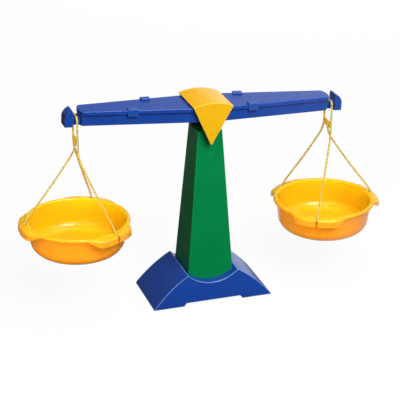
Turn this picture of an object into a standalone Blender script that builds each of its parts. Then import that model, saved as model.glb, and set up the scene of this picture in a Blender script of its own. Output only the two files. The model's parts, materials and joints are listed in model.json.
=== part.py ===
"""Two-pan classroom balance: hollow base, tapered column, tilting beam with zero riders, swinging pans.

Blender 4.5, metres, +Z up. The origin is the centre of the base's footprint. X runs along the beam,
and -Y is the front, where the pointer is read. Each sub-part is one object.
"""
import math

import bmesh
import bpy
from mathutils import Matrix, Vector

MM = 0.001

# Running and seating gap between pieces, and how far a cutter runs past what it cuts
GAP = 0.3 * MM
OVERRUN = 2.0 * MM
# How far a rib, boss or post sinks into the wall that it grows from
ROOT = 0.8 * MM

# Base: a hollow moulding, arched ends and a dipped top that carries the column
BASE_HALF_LENGTH = 72.0 * MM
BASE_HALF_DEPTH = 38.0 * MM
BASE_HEIGHT = 37.6 * MM
BASE_SHOULDER_X = 30.2 * MM
BASE_TOP_HALF_DEPTH = 35.0 * MM
BASE_END_BULGE = 2.6 * MM
BASE_DIP = 12.0 * MM
BASE_WALL = 2.2 * MM
BASE_EDGE_ROUND = 0.9 * MM
FOOT_NOTCH_HALF_LENGTH = 36.0 * MM
FOOT_NOTCH_HEIGHT = 4.0 * MM
FOOT_NOTCH_SLOPE = 3.3 * MM

# Column: a tapered hollow box with a closed top, two bearing ears and a raised index mark
COLUMN_HEIGHT = 204.8 * MM
COLUMN_TOP_HALF_WIDTH = 14.4 * MM
COLUMN_TOP_HALF_DEPTH = 16.6 * MM
COLUMN_FOOT_HALF_WIDTH = 27.0 * MM
COLUMN_FOOT_HALF_DEPTH = 25.0 * MM
COLUMN_WALL = 2.0 * MM
COLUMN_EDGE_ROUND = 0.9 * MM
INDEX_HALF_WIDTH = 2.7 * MM
INDEX_HEIGHT = 8.4 * MM
INDEX_TOP_DROP = 23.8 * MM
INDEX_TOP_Z = COLUMN_HEIGHT - INDEX_TOP_DROP
INDEX_RELIEF = 0.6 * MM

# Screws that pull the column down on the base
BOSS_SKIN = 0.3 * MM
COLUMN_SCREW_LENGTH = 20.0 * MM
COLUMN_BOSS_TOP_Z = 50.0 * MM
SCREW_SHANK_RADIUS = 1.5 * MM
SCREW_HEAD_RADIUS = 2.9 * MM
SCREW_HEAD_HEIGHT = 2.0 * MM
SCREW_RECESS_RADIUS = 1.2 * MM
SCREW_RECESS_DEPTH = 1.0 * MM
BOSS_RADIUS = 3.8 * MM
BASE_BOSS_FLOOR_Z = 21.0 * MM

# Fulcrum: a steel axle in the beam's cheeks, turning in the column's ears
PIVOT_RISE = 30.7 * MM
PIVOT_Z = COLUMN_HEIGHT + PIVOT_RISE
BEAM_TILT_LIMIT = math.radians(10.0)
BEAM_REST_TILT = math.radians(2.6)
AXLE_RADIUS = 1.3 * MM
AXLE_HALF_LENGTH = 22.5 * MM
BEARING_HEAD_RADIUS = 3.2 * MM
EAR_CENTRE_Y = 12.5 * MM
EAR_THICKNESS = 4.0 * MM
EAR_FOOT_HALF_WIDTH = 7.0 * MM
CHEEK_INNER_Y = 15.8 * MM
CHEEK_THICKNESS = 3.0 * MM
CHEEK_FOOT_HALF_WIDTH = 7.0 * MM
CLIP_RADIUS = 2.9 * MM
CLIP_THICKNESS = 0.8 * MM
STOP_PLAY = 0.6 * MM

# Beam, in its own level frame: heights are below the pivot
COVER_TOP_DROP = 0.8 * MM
COVER_HALF_LENGTH = 147.7 * MM
COVER_CENTRE_HALF_DEPTH = 25.1 * MM
COVER_END_HALF_DEPTH = 12.1 * MM
COVER_END_BULGE = 3.6 * MM
COVER_RIM = 4.6 * MM
COVER_WALL = 2.0 * MM
COVER_EDGE_ROUND = 0.7 * MM
BODY_DEPTH = 17.1 * MM
BODY_SETBACK = 2.4 * MM
BODY_WALL = 1.8 * MM
BODY_FLOOR = 2.0 * MM
BODY_EDGE_ROUND = 0.8 * MM

# Beam ends: a neck that a hanger's loop drops over, and a nib that keeps it there
SEAT_REACH = 2.3 * MM
ARM = COVER_HALF_LENGTH + SEAT_REACH
NECK_DROP = 8.7 * MM
NECK_HALF_DEPTH = 6.0 * MM
SEAT_RADIUS = 4.0 * MM
SEAT_END_ANGLE = math.radians(340.0)
NIB_REACH = 4.6 * MM
NIB_LENGTH = 8.6 * MM
NIB_INNER_X = ARM + NIB_REACH
NIB_OUTER_X = NIB_INNER_X + NIB_LENGTH
NIB_RISE = 0.8 * MM
NIB_LAND = 0.8 * MM
NIB_BULGE = 2.3 * MM
NIB_HALF_DEPTH = 8.5 * MM
NIB_SHOULDER_DROP = 11.5 * MM
NIB_BELOW_BODY = 1.2 * MM
TONGUE_ROOT = 4.4 * MM
NIB_EDGE_ROUND = 0.8 * MM

# Screws that hold the cover down, driven from below
COVER_SCREW_END_SPACE = 35.7 * MM
OUTER_SCREW_X = COVER_HALF_LENGTH - COVER_SCREW_END_SPACE
INNER_SCREW_X = 46.0 * MM
COVER_SCREW_XS = (-OUTER_SCREW_X, -INNER_SCREW_X, INNER_SCREW_X, OUTER_SCREW_X)
COVER_SCREW_LENGTH = 8.0 * MM
COVER_BOSS_RADIUS = 3.4 * MM
COUNTERBORE_DEPTH = 2.6 * MM
SCREW_SEAT_THICKNESS = 2.0 * MM

# Saddle: an arched cap over the fulcrum whose front and back plates are the pointers
SADDLE_HALF_WIDTH = 23.5 * MM
SADDLE_HALF_DEPTH = 27.2 * MM
SADDLE_CROWN_RISE = 5.8 * MM
SADDLE_CORNER_RISE = 1.5 * MM
SADDLE_ROOF = 2.0 * MM
SADDLE_PLATE = 1.8 * MM
SADDLE_EDGE_ROUND = 0.5 * MM
POINTER_TIP_DROP = 43.3 * MM
POINTER_TIP_RADIUS = 0.9 * MM
CATCH_HALF_WIDTH = 4.5 * MM
CATCH_HEIGHT = 1.8 * MM
CATCH_REACH = 1.5 * MM

# Riders: zero-adjust clips that slide along the cover's rim
RIDER_LENGTH = 10.8 * MM
RIDER_OUTER_WALL = 1.3 * MM
RIDER_TOP_WALL = 1.5 * MM
RIDER_TOP_LIP = 6.6 * MM
RIDER_LOWER_LIP = 1.4 * MM
RIDER_LOWER_WALL = 1.8 * MM
RIDER_EDGE_ROUND = 0.4 * MM
RIDER_LEFT_FRONT_X = -89.5 * MM
RIDER_LEFT_BACK_X = -65.8 * MM
RIDER_RIGHT_FRONT_X = 49.0 * MM
RIDER_RIGHT_BACK_X = 44.4 * MM

# Hangers: a loop, a web and three sprung legs moulded as one, each leg ending in a button
STRAND_RADIUS = 1.15 * MM
LOOP_HALF_WIDTH = 10.0 * MM
LOOP_CORNER = 4.0 * MM
WEB_TOP_DROP = 23.0 * MM
WEB_BOTTOM_DROP = 31.5 * MM
WEB_THICKNESS = 1.8 * MM
LEG_RADIUS = 1.05 * MM
LEG_START_DROP = 36.0 * MM
BUTTON_RADIUS = 2.1 * MM

# Pans: a dished bowl whose rim widens into three skirted tabs
PAN_DROP = 121.3 * MM
PAN_DEPTH = 35.8 * MM
PAN_WALL_TOP_RADIUS = 56.0 * MM
PAN_WALL_DRAFT = 2.6 * MM
PAN_WALL_FOOT_RADIUS = PAN_WALL_TOP_RADIUS - PAN_WALL_DRAFT
PAN_CORNER_RADIUS = 14.0 * MM
PAN_RIM_REACH = 3.6 * MM
PAN_RIM_RADIUS = PAN_WALL_TOP_RADIUS + PAN_RIM_REACH
PAN_RIM_DROP = 1.6 * MM
PAN_WALL = 1.5 * MM
TAB_REACH = 6.6 * MM
TAB_SKIRT = 6.8 * MM
TAB_DROP = 1.4 * MM
TAB_FLAT_HALF_ANGLE = math.radians(18.0)
TAB_BLEND_ANGLE = math.radians(17.0)
TAB_SPREAD_SHARE = 1.25
LEG_SEAT_SETBACK = 5.0 * MM
LEG_SEAT_RADIUS = PAN_RIM_RADIUS + TAB_REACH - LEG_SEAT_SETBACK
SLOT_LEAD = 2.0 * MM
LEFT_TAB_ANGLES = tuple(math.radians(a) for a in (180.0, 300.0, 60.0))
RIGHT_TAB_ANGLES = tuple(math.radians(a) for a in (0.0, 120.0, 240.0))

# How finely round shapes are cut
ARC_STEPS = 10
TURN_STEPS = 16
PAN_STEPS = 60

BLUE = (0.030, 0.075, 0.330)
GREEN = (0.004, 0.240, 0.070)
YELLOW = (0.930, 0.500, 0.010)
AMBER = (0.950, 0.420, 0.012)
STEEL = (0.560, 0.570, 0.580)


def clear_scene():
    for obj in list(bpy.data.objects):
        bpy.data.objects.remove(obj)


def make_material(name, colour, roughness, metallic=0.0):
    material = bpy.data.materials.new(name)
    material.use_nodes = True
    shader = material.node_tree.nodes["Principled BSDF"]
    shader.inputs["Base Color"].default_value = (*colour, 1.0)
    shader.inputs["Roughness"].default_value = roughness
    shader.inputs["Metallic"].default_value = metallic
    return material


def make_collection(name):
    collection = bpy.data.collections.new(name)
    bpy.context.scene.collection.children.link(collection)
    return collection


def make_frame(name, collection, location, tilt=0.0):
    """An empty on a joint's axis; tilt turns it about Y."""
    empty = bpy.data.objects.new(name, None)
    empty.location = location
    empty.rotation_euler = (0.0, tilt, 0.0)
    empty.empty_display_size = SEAT_RADIUS
    collection.objects.link(empty)
    return empty


# Points of outlines


def arc(centre, radius, start, end, steps=ARC_STEPS):
    """Points along a circle from one angle to another, ends included."""
    step = (end - start) / steps
    return [
        (centre[0] + radius * math.cos(start + i * step), centre[1] + radius * math.sin(start + i * step))
        for i in range(steps + 1)
    ]


def bulged_circle(start, end, bulge):
    """Centre and radius of the circle through two points that bulges to the left of start to end."""
    start, end = Vector(start), Vector(end)
    chord = end - start
    radius = (chord.length**2 / 4 + bulge**2) / (2 * bulge)
    left = Vector((-chord.y, chord.x)).normalized()
    return (start + end) / 2 - left * (radius - bulge), radius


def angle_from(centre, point):
    return math.atan2(point[1] - centre[1], point[0] - centre[0])


def circles_meet(first, first_radius, second, second_radius, near):
    """The meeting point of two circles that lies nearer to a given point."""
    between = Vector(second) - Vector(first)
    along = (between.length**2 + first_radius**2 - second_radius**2) / (2 * between.length)
    across = math.sqrt(first_radius**2 - along**2)
    foot = Vector(first) + between.normalized() * along
    side = Vector((-between.y, between.x)).normalized() * across
    return min((foot + side, foot - side), key=lambda p: (p - Vector(near)).length)


def mirrored(half):
    """A whole outline from the points of its +X half, which run from one end of the axis to the other."""
    other = [(-u, v) for u, v in reversed(half) if u > 0]
    return half + other


# Solids from outlines


def weld(mesh):
    bm = bmesh.new()
    bm.from_mesh(mesh)
    bmesh.ops.remove_doubles(bm, verts=bm.verts, dist=GAP / 1000)
    bmesh.ops.dissolve_limit(bm, angle_limit=math.radians(0.2), verts=bm.verts, edges=bm.edges)
    bmesh.ops.recalc_face_normals(bm, faces=bm.faces)
    bm.to_mesh(mesh)
    bm.free()


def as_mesh(obj, collection):
    """The object's evaluated shape as a mesh object in its place; the old one is removed."""
    graph = bpy.context.evaluated_depsgraph_get()
    graph.update()
    mesh = bpy.data.meshes.new_from_object(obj.evaluated_get(graph), depsgraph=graph)
    mesh.transform(obj.matrix_world)
    name = obj.name
    bpy.data.objects.remove(obj)
    mesh.name = name
    solid = bpy.data.objects.new(name, mesh)
    collection.objects.link(solid)
    return solid


def plate(name, outline, low, high, plane, collection):
    """A flat outline given a thickness from low to high along the axis that its plane leaves out."""
    curve = bpy.data.curves.new(name, "CURVE")
    curve.dimensions = "2D"
    curve.fill_mode = "BOTH"
    curve.extrude = (high - low) / 2
    spline = curve.splines.new("POLY")
    spline.points.add(len(outline) - 1)
    for point, (u, v) in zip(spline.points, outline):
        point.co = (u, v, 0.0, 1.0)
    spline.use_cyclic_u = True
    obj = bpy.data.objects.new(name, curve)
    collection.objects.link(obj)
    quarter = math.pi / 2
    middle = (low + high) / 2
    if plane == "XZ":
        obj.matrix_world = Matrix.Translation((0.0, middle, 0.0)) @ Matrix.Rotation(quarter, 4, "X")
    elif plane == "YZ":
        turn = Matrix.Rotation(quarter, 4, "Z") @ Matrix.Rotation(quarter, 4, "X")
        obj.matrix_world = Matrix.Translation((middle, 0.0, 0.0)) @ turn
    else:
        obj.matrix_world = Matrix.Translation((0.0, 0.0, middle))
    bpy.context.view_layer.update()
    solid = as_mesh(obj, collection)
    weld(solid.data)
    return solid


def turned(name, profile, collection, steps=TURN_STEPS, closed=False):
    """A shape turned about Z from (radius, height) points that run down its outer side."""
    mesh = bpy.data.meshes.new(name)
    points = [(radius, 0.0, height) for radius, height in profile]
    edges = [(i, i + 1) for i in range(len(points) - 1)]
    if closed:
        edges.append((len(points) - 1, 0))
    mesh.from_pydata(points, edges, [])
    obj = bpy.data.objects.new(name, mesh)
    collection.objects.link(obj)
    screw = obj.modifiers.new("turn", "SCREW")
    screw.steps = screw.render_steps = steps
    screw.use_merge_vertices = True
    screw.merge_threshold = GAP / 10
    solid = as_mesh(obj, collection)
    weld(solid.data)
    return solid


def rod(name, radius, low, high, collection, steps=TURN_STEPS):
    return turned(name, [(0.0, high), (radius, high), (radius, low), (0.0, low)], collection, steps)


def place(obj, location, turn=None):
    """Moves a shape's mesh, so that its object's origin stays on the frame that carries it."""
    matrix = Matrix.Translation(location)
    if turn is not None:
        matrix = matrix @ turn
    obj.data.transform(matrix)
    return obj


def frustum(name, low_z, high_z, low_half, high_half, collection):
    """A four-sided block whose half width and half depth change evenly from low_z to high_z."""
    mesh = bpy.data.meshes.new(name)
    bm = bmesh.new()
    bmesh.ops.create_cube(bm, size=2.0)
    for vert in bm.verts:
        half, z = (high_half, high_z) if vert.co.z > 0 else (low_half, low_z)
        vert.co = (vert.co.x * half[0], vert.co.y * half[1], z)
    bm.to_mesh(mesh)
    bm.free()
    obj = bpy.data.objects.new(name, mesh)
    collection.objects.link(obj)
    return obj


def block(name, low, high, collection):
    size = [(b - a) / 2 for a, b in zip(low, high)]
    obj = frustum(name, -size[2], size[2], size[:2], size[:2], collection)
    return place(obj, [(a + b) / 2 for a, b in zip(low, high)])


def smooth(obj):
    obj.data.shade_smooth()
    obj.data.set_sharp_from_angle(angle=math.radians(30))


def round_edges(obj, width, segments=2, angle=35.0):
    bevel = obj.modifiers.new("rounded edges", "BEVEL")
    bevel.width = width
    bevel.segments = segments
    bevel.limit_method = "ANGLE"
    bevel.angle_limit = math.radians(angle)
    bevel.miter_outer = "MITER_SHARP"
    bevel.use_clamp_overlap = True


def combine(target, tools, operation, cutters):
    """Joins tools to a solid, or cuts them from it, and puts the tools away as guides."""
    for tool in tools:
        modifier = target.modifiers.new(f"{operation.lower()} {tool.name}", "BOOLEAN")
        modifier.operation = operation
        modifier.object = tool
        modifier.solver = "EXACT"
        tool.parent = target.parent
        tool.hide_render = True
        tool.display_type = "WIRE"
        for collection in list(tool.users_collection):
            collection.objects.unlink(tool)
        cutters.objects.link(tool)


def finish(obj, material, parent=None):
    obj.data.materials.clear()
    obj.data.materials.append(material)
    smooth(obj)
    if parent is not None:
        obj.parent = parent
    return obj


# The base


BASE_DIP_RADIUS = (BASE_SHOULDER_X**2 + BASE_DIP**2) / (2 * BASE_DIP)
BASE_DIP_CENTRE = (0.0, BASE_HEIGHT - BASE_DIP + BASE_DIP_RADIUS)
BASE_DRAFT = (BASE_HALF_DEPTH - BASE_TOP_HALF_DEPTH) / BASE_HEIGHT


def dip_height(x):
    """Height of the base's dipped top at x."""
    return BASE_DIP_CENTRE[1] - math.sqrt(BASE_DIP_RADIUS**2 - x**2)


def base_outline(inset, floor_z):
    """The base seen from the front, every curve moved inwards by inset."""
    shoulder = (BASE_SHOULDER_X, BASE_HEIGHT)
    end_centre, end_radius = bulged_circle((BASE_HALF_LENGTH, 0.0), shoulder, -BASE_END_BULGE)
    end_radius = abs(end_radius) - inset
    dip_radius = BASE_DIP_RADIUS + inset
    corner = circles_meet(end_centre, end_radius, BASE_DIP_CENTRE, dip_radius, shoulder)
    dip = arc(BASE_DIP_CENTRE, dip_radius, -math.pi / 2, angle_from(BASE_DIP_CENTRE, corner))
    foot_angle = math.asin((floor_z - end_centre[1]) / end_radius)
    end = arc(end_centre, end_radius, angle_from(end_centre, corner), foot_angle)
    return mirrored(dip + end[1:])


def drafted(obj, half_depth):
    """Gives a block of unit half depth its real half depth, which narrows upwards."""
    for vert in obj.data.vertices:
        vert.co.y *= half_depth - BASE_DRAFT * vert.co.z
    return obj


def make_base(parts, cutters, material):
    base = drafted(plate("base", base_outline(0.0, 0.0), -1.0, 1.0, "XZ", parts), BASE_HALF_DEPTH)
    round_edges(base, BASE_EDGE_ROUND)
    hollow = drafted(
        plate("base_hollow", base_outline(BASE_WALL, -OVERRUN), -1.0, 1.0, "XZ", cutters),
        BASE_HALF_DEPTH - BASE_WALL,
    )
    notch_foot = FOOT_NOTCH_HALF_LENGTH + FOOT_NOTCH_SLOPE * OVERRUN / FOOT_NOTCH_HEIGHT
    notch = plate(
        "foot_notch",
        mirrored([
            (0.0, -OVERRUN),
            (notch_foot, -OVERRUN),
            (FOOT_NOTCH_HALF_LENGTH - FOOT_NOTCH_SLOPE, FOOT_NOTCH_HEIGHT),
            (0.0, FOOT_NOTCH_HEIGHT),
        ]),
        -BASE_HALF_DEPTH - OVERRUN,
        BASE_HALF_DEPTH + OVERRUN,
        "XZ",
        cutters,
    )
    combine(base, [hollow, notch], "DIFFERENCE", cutters)
    bosses, holes = [], []
    for number, (x, y) in enumerate(column_screw_places(), 1):
        boss_top = dip_height(abs(x) - BOSS_RADIUS) - BASE_WALL / 2
        boss = rod(f"base_boss_{number}", BOSS_RADIUS, BASE_BOSS_FLOOR_Z, boss_top, cutters)
        bosses.append(place(boss, (x, y, 0.0)))
        hole = rod(
            f"base_hole_{number}",
            SCREW_SHANK_RADIUS + GAP,
            BASE_BOSS_FLOOR_Z - OVERRUN,
            BASE_HEIGHT + OVERRUN,
            cutters,
        )
        holes.append(place(hole, (x, y, 0.0)))
    combine(base, bosses, "UNION", cutters)
    combine(base, holes, "DIFFERENCE", cutters)
    return finish(base, material)


# The column


def column_screw_places():
    """Centres of the four screws, so that the bosses' tops stay inside the column's tapering walls."""
    half_width, half_depth = column_half(COLUMN_BOSS_TOP_Z, BOSS_RADIUS + BOSS_SKIN)
    return [(sx * half_width, sy * half_depth) for sy in (-1, 1) for sx in (-1, 1)]


COLUMN_FOOT_Z = dip_height(COLUMN_FOOT_HALF_WIDTH)
COLUMN_SIDE_SLOPE = (COLUMN_FOOT_HALF_WIDTH - COLUMN_TOP_HALF_WIDTH) / (COLUMN_HEIGHT - COLUMN_FOOT_Z)
COLUMN_FACE_SLOPE = (COLUMN_FOOT_HALF_DEPTH - COLUMN_TOP_HALF_DEPTH) / (COLUMN_HEIGHT - COLUMN_FOOT_Z)


def column_half(z, inset=0.0):
    """Half width and half depth of the column at a height."""
    below = COLUMN_HEIGHT - z
    return (
        COLUMN_TOP_HALF_WIDTH + COLUMN_SIDE_SLOPE * below - inset,
        COLUMN_TOP_HALF_DEPTH + COLUMN_FACE_SLOPE * below - inset,
    )


def bearing_outline(foot_half_width, foot_z, head_z):
    """A post seen from the front: a flat foot, straight sides and a round head."""
    rise = head_z - foot_z
    reach = math.hypot(foot_half_width, rise)
    tangent = math.acos(BEARING_HEAD_RADIUS / reach) - math.atan2(rise, foot_half_width)
    head = arc((0.0, head_z), BEARING_HEAD_RADIUS, tangent, math.pi / 2, ARC_STEPS // 2)
    return mirrored([(0.0, foot_z), (foot_half_width, foot_z)] + head)


def below_dip_outline(raised):
    """All that lies under the base's dipped top, raised by a gap."""
    radius = BASE_DIP_RADIUS - raised
    reach = math.asin(BASE_SHOULDER_X / BASE_DIP_RADIUS)
    dip = arc(BASE_DIP_CENTRE, radius, -math.pi / 2, -math.pi / 2 + reach)
    return mirrored([(0.0, -OVERRUN)] + [(dip[-1][0], -OVERRUN)] + dip[::-1])


def make_index_mark(cutters):
    mark_z = INDEX_TOP_Z - INDEX_HEIGHT
    front = column_half(INDEX_TOP_Z)[1]
    outline = mirrored([(0.0, mark_z), (INDEX_HALF_WIDTH, mark_z), (0.0, INDEX_TOP_Z)])
    mark = plate("index_mark", outline, -ROOT, INDEX_RELIEF, "XZ", cutters)
    lean = math.atan(COLUMN_FACE_SLOPE)
    about_top = Matrix.Translation((0.0, 0.0, INDEX_TOP_Z)) @ Matrix.Rotation(lean, 4, "X")
    turn = about_top @ Matrix.Translation((0.0, 0.0, -INDEX_TOP_Z)) @ Matrix.Scale(-1.0, 4, (0, 1, 0))
    place(mark, (0.0, -front, 0.0), turn)
    mark.data.flip_normals()
    return mark


def make_column(parts, cutters, material):
    low_z = dip_height(0.0) - OVERRUN
    column = frustum(
        "column", low_z, COLUMN_HEIGHT, column_half(low_z), column_half(COLUMN_HEIGHT), parts
    )
    round_edges(column, COLUMN_EDGE_ROUND)
    hollow_low, hollow_top = low_z - OVERRUN, COLUMN_HEIGHT - COLUMN_WALL
    hollow = frustum(
        "column_hollow",
        hollow_low,
        hollow_top,
        column_half(hollow_low, COLUMN_WALL),
        column_half(hollow_top, COLUMN_WALL),
        cutters,
    )
    combine(column, [hollow], "DIFFERENCE", cutters)
    bosses = [
        place(rod(f"column_boss_{n}", BOSS_RADIUS, low_z + OVERRUN, COLUMN_BOSS_TOP_Z, cutters), (x, y, 0.0))
        for n, (x, y) in enumerate(column_screw_places(), 1)
    ]
    ear_outline = bearing_outline(EAR_FOOT_HALF_WIDTH, COLUMN_HEIGHT - ROOT, PIVOT_Z)
    ears = [
        plate(
            f"column_ear_{word}",
            ear_outline,
            side * EAR_CENTRE_Y - EAR_THICKNESS / 2,
            side * EAR_CENTRE_Y + EAR_THICKNESS / 2,
            "XZ",
            cutters,
        )
        for word, side in (("front", -1), ("back", 1))
    ]
    combine(column, bosses + ears + [make_index_mark(cutters)], "UNION", cutters)
    reach = column_half(low_z)[1] + OVERRUN
    seat = plate("column_seat", below_dip_outline(GAP), -reach, reach, "XZ", cutters)
    bore = rod("column_bore", AXLE_RADIUS + GAP, -reach, reach, cutters)
    place(bore, (0.0, 0.0, PIVOT_Z), Matrix.Rotation(math.pi / 2, 4, "X"))
    pilot_top = BASE_BOSS_FLOOR_Z + COLUMN_SCREW_LENGTH + GAP
    pilots = [
        place(rod(f"column_pilot_{n}", SCREW_SHANK_RADIUS + GAP, low_z, pilot_top, cutters), (x, y, 0.0))
        for n, (x, y) in enumerate(column_screw_places(), 1)
    ]
    combine(column, [seat, bore] + pilots, "DIFFERENCE", cutters)
    return finish(column, material)


def screw_profile(length):
    """A pan-head screw point up, seated at z = 0: the head hangs below, with a round recess."""
    head = SCREW_HEAD_RADIUS
    crown = head * math.cos(math.pi / 4)
    return [
        (0.0, length),
        (SCREW_SHANK_RADIUS / 2, length),
        (SCREW_SHANK_RADIUS, length - SCREW_SHANK_RADIUS),
        (SCREW_SHANK_RADIUS, -GAP),
        (head, -GAP),
        (head, -SCREW_HEAD_HEIGHT / 2),
        (crown, -SCREW_HEAD_HEIGHT),
        (SCREW_RECESS_RADIUS, -SCREW_HEAD_HEIGHT),
        (SCREW_RECESS_RADIUS / 2, -SCREW_HEAD_HEIGHT + SCREW_RECESS_DEPTH),
        (0.0, -SCREW_HEAD_HEIGHT + SCREW_RECESS_DEPTH),
    ]


def make_screw(name, length, location, parts, material, parent=None):
    screw = turned(name, screw_profile(length), parts, TURN_STEPS // 2)
    place(screw, location)
    return finish(screw, material, parent)


# The beam, drawn level about its pivot


COVER_TOP = -COVER_TOP_DROP
COVER_RIM_BOTTOM = COVER_TOP - COVER_RIM
BODY_BOTTOM = COVER_TOP - BODY_DEPTH
BODY_TOP = COVER_TOP - COVER_WALL - GAP
FLOOR_TOP = BODY_BOTTOM + BODY_FLOOR
SEAT_Z = COVER_TOP - NECK_DROP
COVER_CORNER_X = COVER_HALF_LENGTH - COVER_END_BULGE
EDGE_TAPER = math.atan((COVER_CENTRE_HALF_DEPTH - COVER_END_HALF_DEPTH) / COVER_CORNER_X)


def rim_half_depth(x):
    """How far the cover's long edge lies from the middle plane at x."""
    return COVER_CENTRE_HALF_DEPTH - math.tan(EDGE_TAPER) * abs(x)


def beam_plan(inset):
    """The cover's plan, moved inwards: two tapering arms with bowed ends."""
    corner_x = COVER_CORNER_X - inset
    corner_y = rim_half_depth(corner_x) - inset
    centre, radius = bulged_circle((corner_x, corner_y), (corner_x, -corner_y), COVER_END_BULGE)
    start, end = angle_from(centre, (corner_x, -corner_y)), angle_from(centre, (corner_x, corner_y))
    bow = arc(centre, radius, start, end, ARC_STEPS // 2)
    middle_y = COVER_CENTRE_HALF_DEPTH - inset
    return mirrored([(0.0, -middle_y)] + bow + [(0.0, middle_y)])


def ear_half_width(drop):
    """Half width of an ear at a depth below the pivot."""
    foot_drop = PIVOT_Z - COLUMN_HEIGHT
    share = max(0.0, drop / foot_drop)
    return BEARING_HEAD_RADIUS + (EAR_FOOT_HALF_WIDTH - BEARING_HEAD_RADIUS) * share


def ear_slots(name, z_low, z_high, cutters):
    """Openings that let the ears through and stop the beam's tilt."""
    drop = -z_low
    half_x = ear_half_width(drop) + drop * math.tan(BEAM_TILT_LIMIT) + STOP_PLAY
    half_y = EAR_THICKNESS / 2 + STOP_PLAY
    return [
        block(
            f"{name}_{word}",
            (-half_x, side * EAR_CENTRE_Y - half_y, z_low - OVERRUN),
            (half_x, side * EAR_CENTRE_Y + half_y, z_high + OVERRUN),
            cutters,
        )
        for word, side in (("front", -1), ("back", 1))
    ]


def beam_end(side, cutters):
    """The neck with its round-bottomed seat for a hanger's loop, and the nib beyond it."""
    word = "right" if side > 0 else "left"
    inner_x = COVER_HALF_LENGTH - BODY_SETBACK - TONGUE_ROOT
    belly = BODY_BOTTOM + ROOT
    seat_top = SEAT_Z + SEAT_RADIUS
    shelf = COVER_RIM_BOTTOM - GAP
    shelf_angle = math.pi + math.asin((seat_top - shelf) / SEAT_RADIUS)
    seat = arc((ARM, seat_top), SEAT_RADIUS, shelf_angle, SEAT_END_ANGLE)
    neck_end_x = ARM + SEAT_RADIUS + 2 * ROOT
    neck_outline = [(inner_x, belly), (inner_x, shelf)] + seat
    neck_outline += [(neck_end_x, seat[-1][1]), (neck_end_x, belly)]
    neck_outline = [(side * u, v) for u, v in neck_outline]
    neck = plate(f"neck_{word}", neck_outline, -NECK_HALF_DEPTH, NECK_HALF_DEPTH, "XZ", cutters)
    round_edges(neck, NIB_EDGE_ROUND / 2, 1, 50.0)

    low = BODY_BOTTOM - NIB_BELOW_BODY
    top = COVER_TOP + NIB_RISE
    crest, brow = (NIB_INNER_X + NIB_LAND, top), (NIB_OUTER_X, top - NIB_SHOULDER_DROP)
    nose_centre, nose_radius = bulged_circle(crest, brow, NIB_BULGE)
    nose_start, nose_end = angle_from(nose_centre, crest), angle_from(nose_centre, brow)
    nib_outline = [(ARM + SEAT_RADIUS, low), (ARM + SEAT_RADIUS, seat_top), (NIB_INNER_X, top)]
    nib_outline += arc(nose_centre, nose_radius, nose_start, nose_end, ARC_STEPS // 2)
    nib_outline.append((NIB_OUTER_X, low))
    nib_outline = [(side * u, v) for u, v in nib_outline]
    nib = plate(f"nib_{word}", nib_outline, -NIB_HALF_DEPTH, NIB_HALF_DEPTH, "XZ", cutters)
    round_edges(nib, NIB_EDGE_ROUND, 2, 50.0)
    return [neck, nib]


def make_beam_body(parts, cutters, material, frame):
    body = plate("beam_body", beam_plan(BODY_SETBACK), BODY_BOTTOM, BODY_TOP, "XY", parts)
    body.parent = frame
    round_edges(body, BODY_EDGE_ROUND)
    trough = plate(
        "beam_trough", beam_plan(BODY_SETBACK + BODY_WALL), FLOOR_TOP, BODY_TOP + OVERRUN, "XY", cutters
    )
    combine(body, [trough], "DIFFERENCE", cutters)
    ends = beam_end(-1, cutters) + beam_end(1, cutters)
    seat_top = BODY_BOTTOM + COUNTERBORE_DEPTH + SCREW_SEAT_THICKNESS
    bosses, bores = [], []
    for number, x in enumerate(COVER_SCREW_XS, 1):
        boss_radius = SCREW_HEAD_RADIUS + GAP + BODY_WALL
        boss = rod(f"beam_boss_{number}", boss_radius, FLOOR_TOP - ROOT, seat_top, cutters)
        bosses.append(place(boss, (x, 0.0, 0.0)))
        sink = rod(
            f"beam_sink_{number}",
            SCREW_HEAD_RADIUS + GAP,
            BODY_BOTTOM - OVERRUN,
            BODY_BOTTOM + COUNTERBORE_DEPTH,
            cutters,
        )
        hole = rod(
            f"beam_hole_{number}",
            SCREW_SHANK_RADIUS + GAP,
            BODY_BOTTOM - OVERRUN,
            seat_top + OVERRUN,
            cutters,
        )
        bores += [place(sink, (x, 0.0, 0.0)), place(hole, (x, 0.0, 0.0))]
    combine(body, bosses + ends, "UNION", cutters)
    slots = ear_slots("beam_slot", BODY_BOTTOM, FLOOR_TOP, cutters)
    combine(body, bores + slots, "DIFFERENCE", cutters)
    return finish(body, material, frame)


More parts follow.
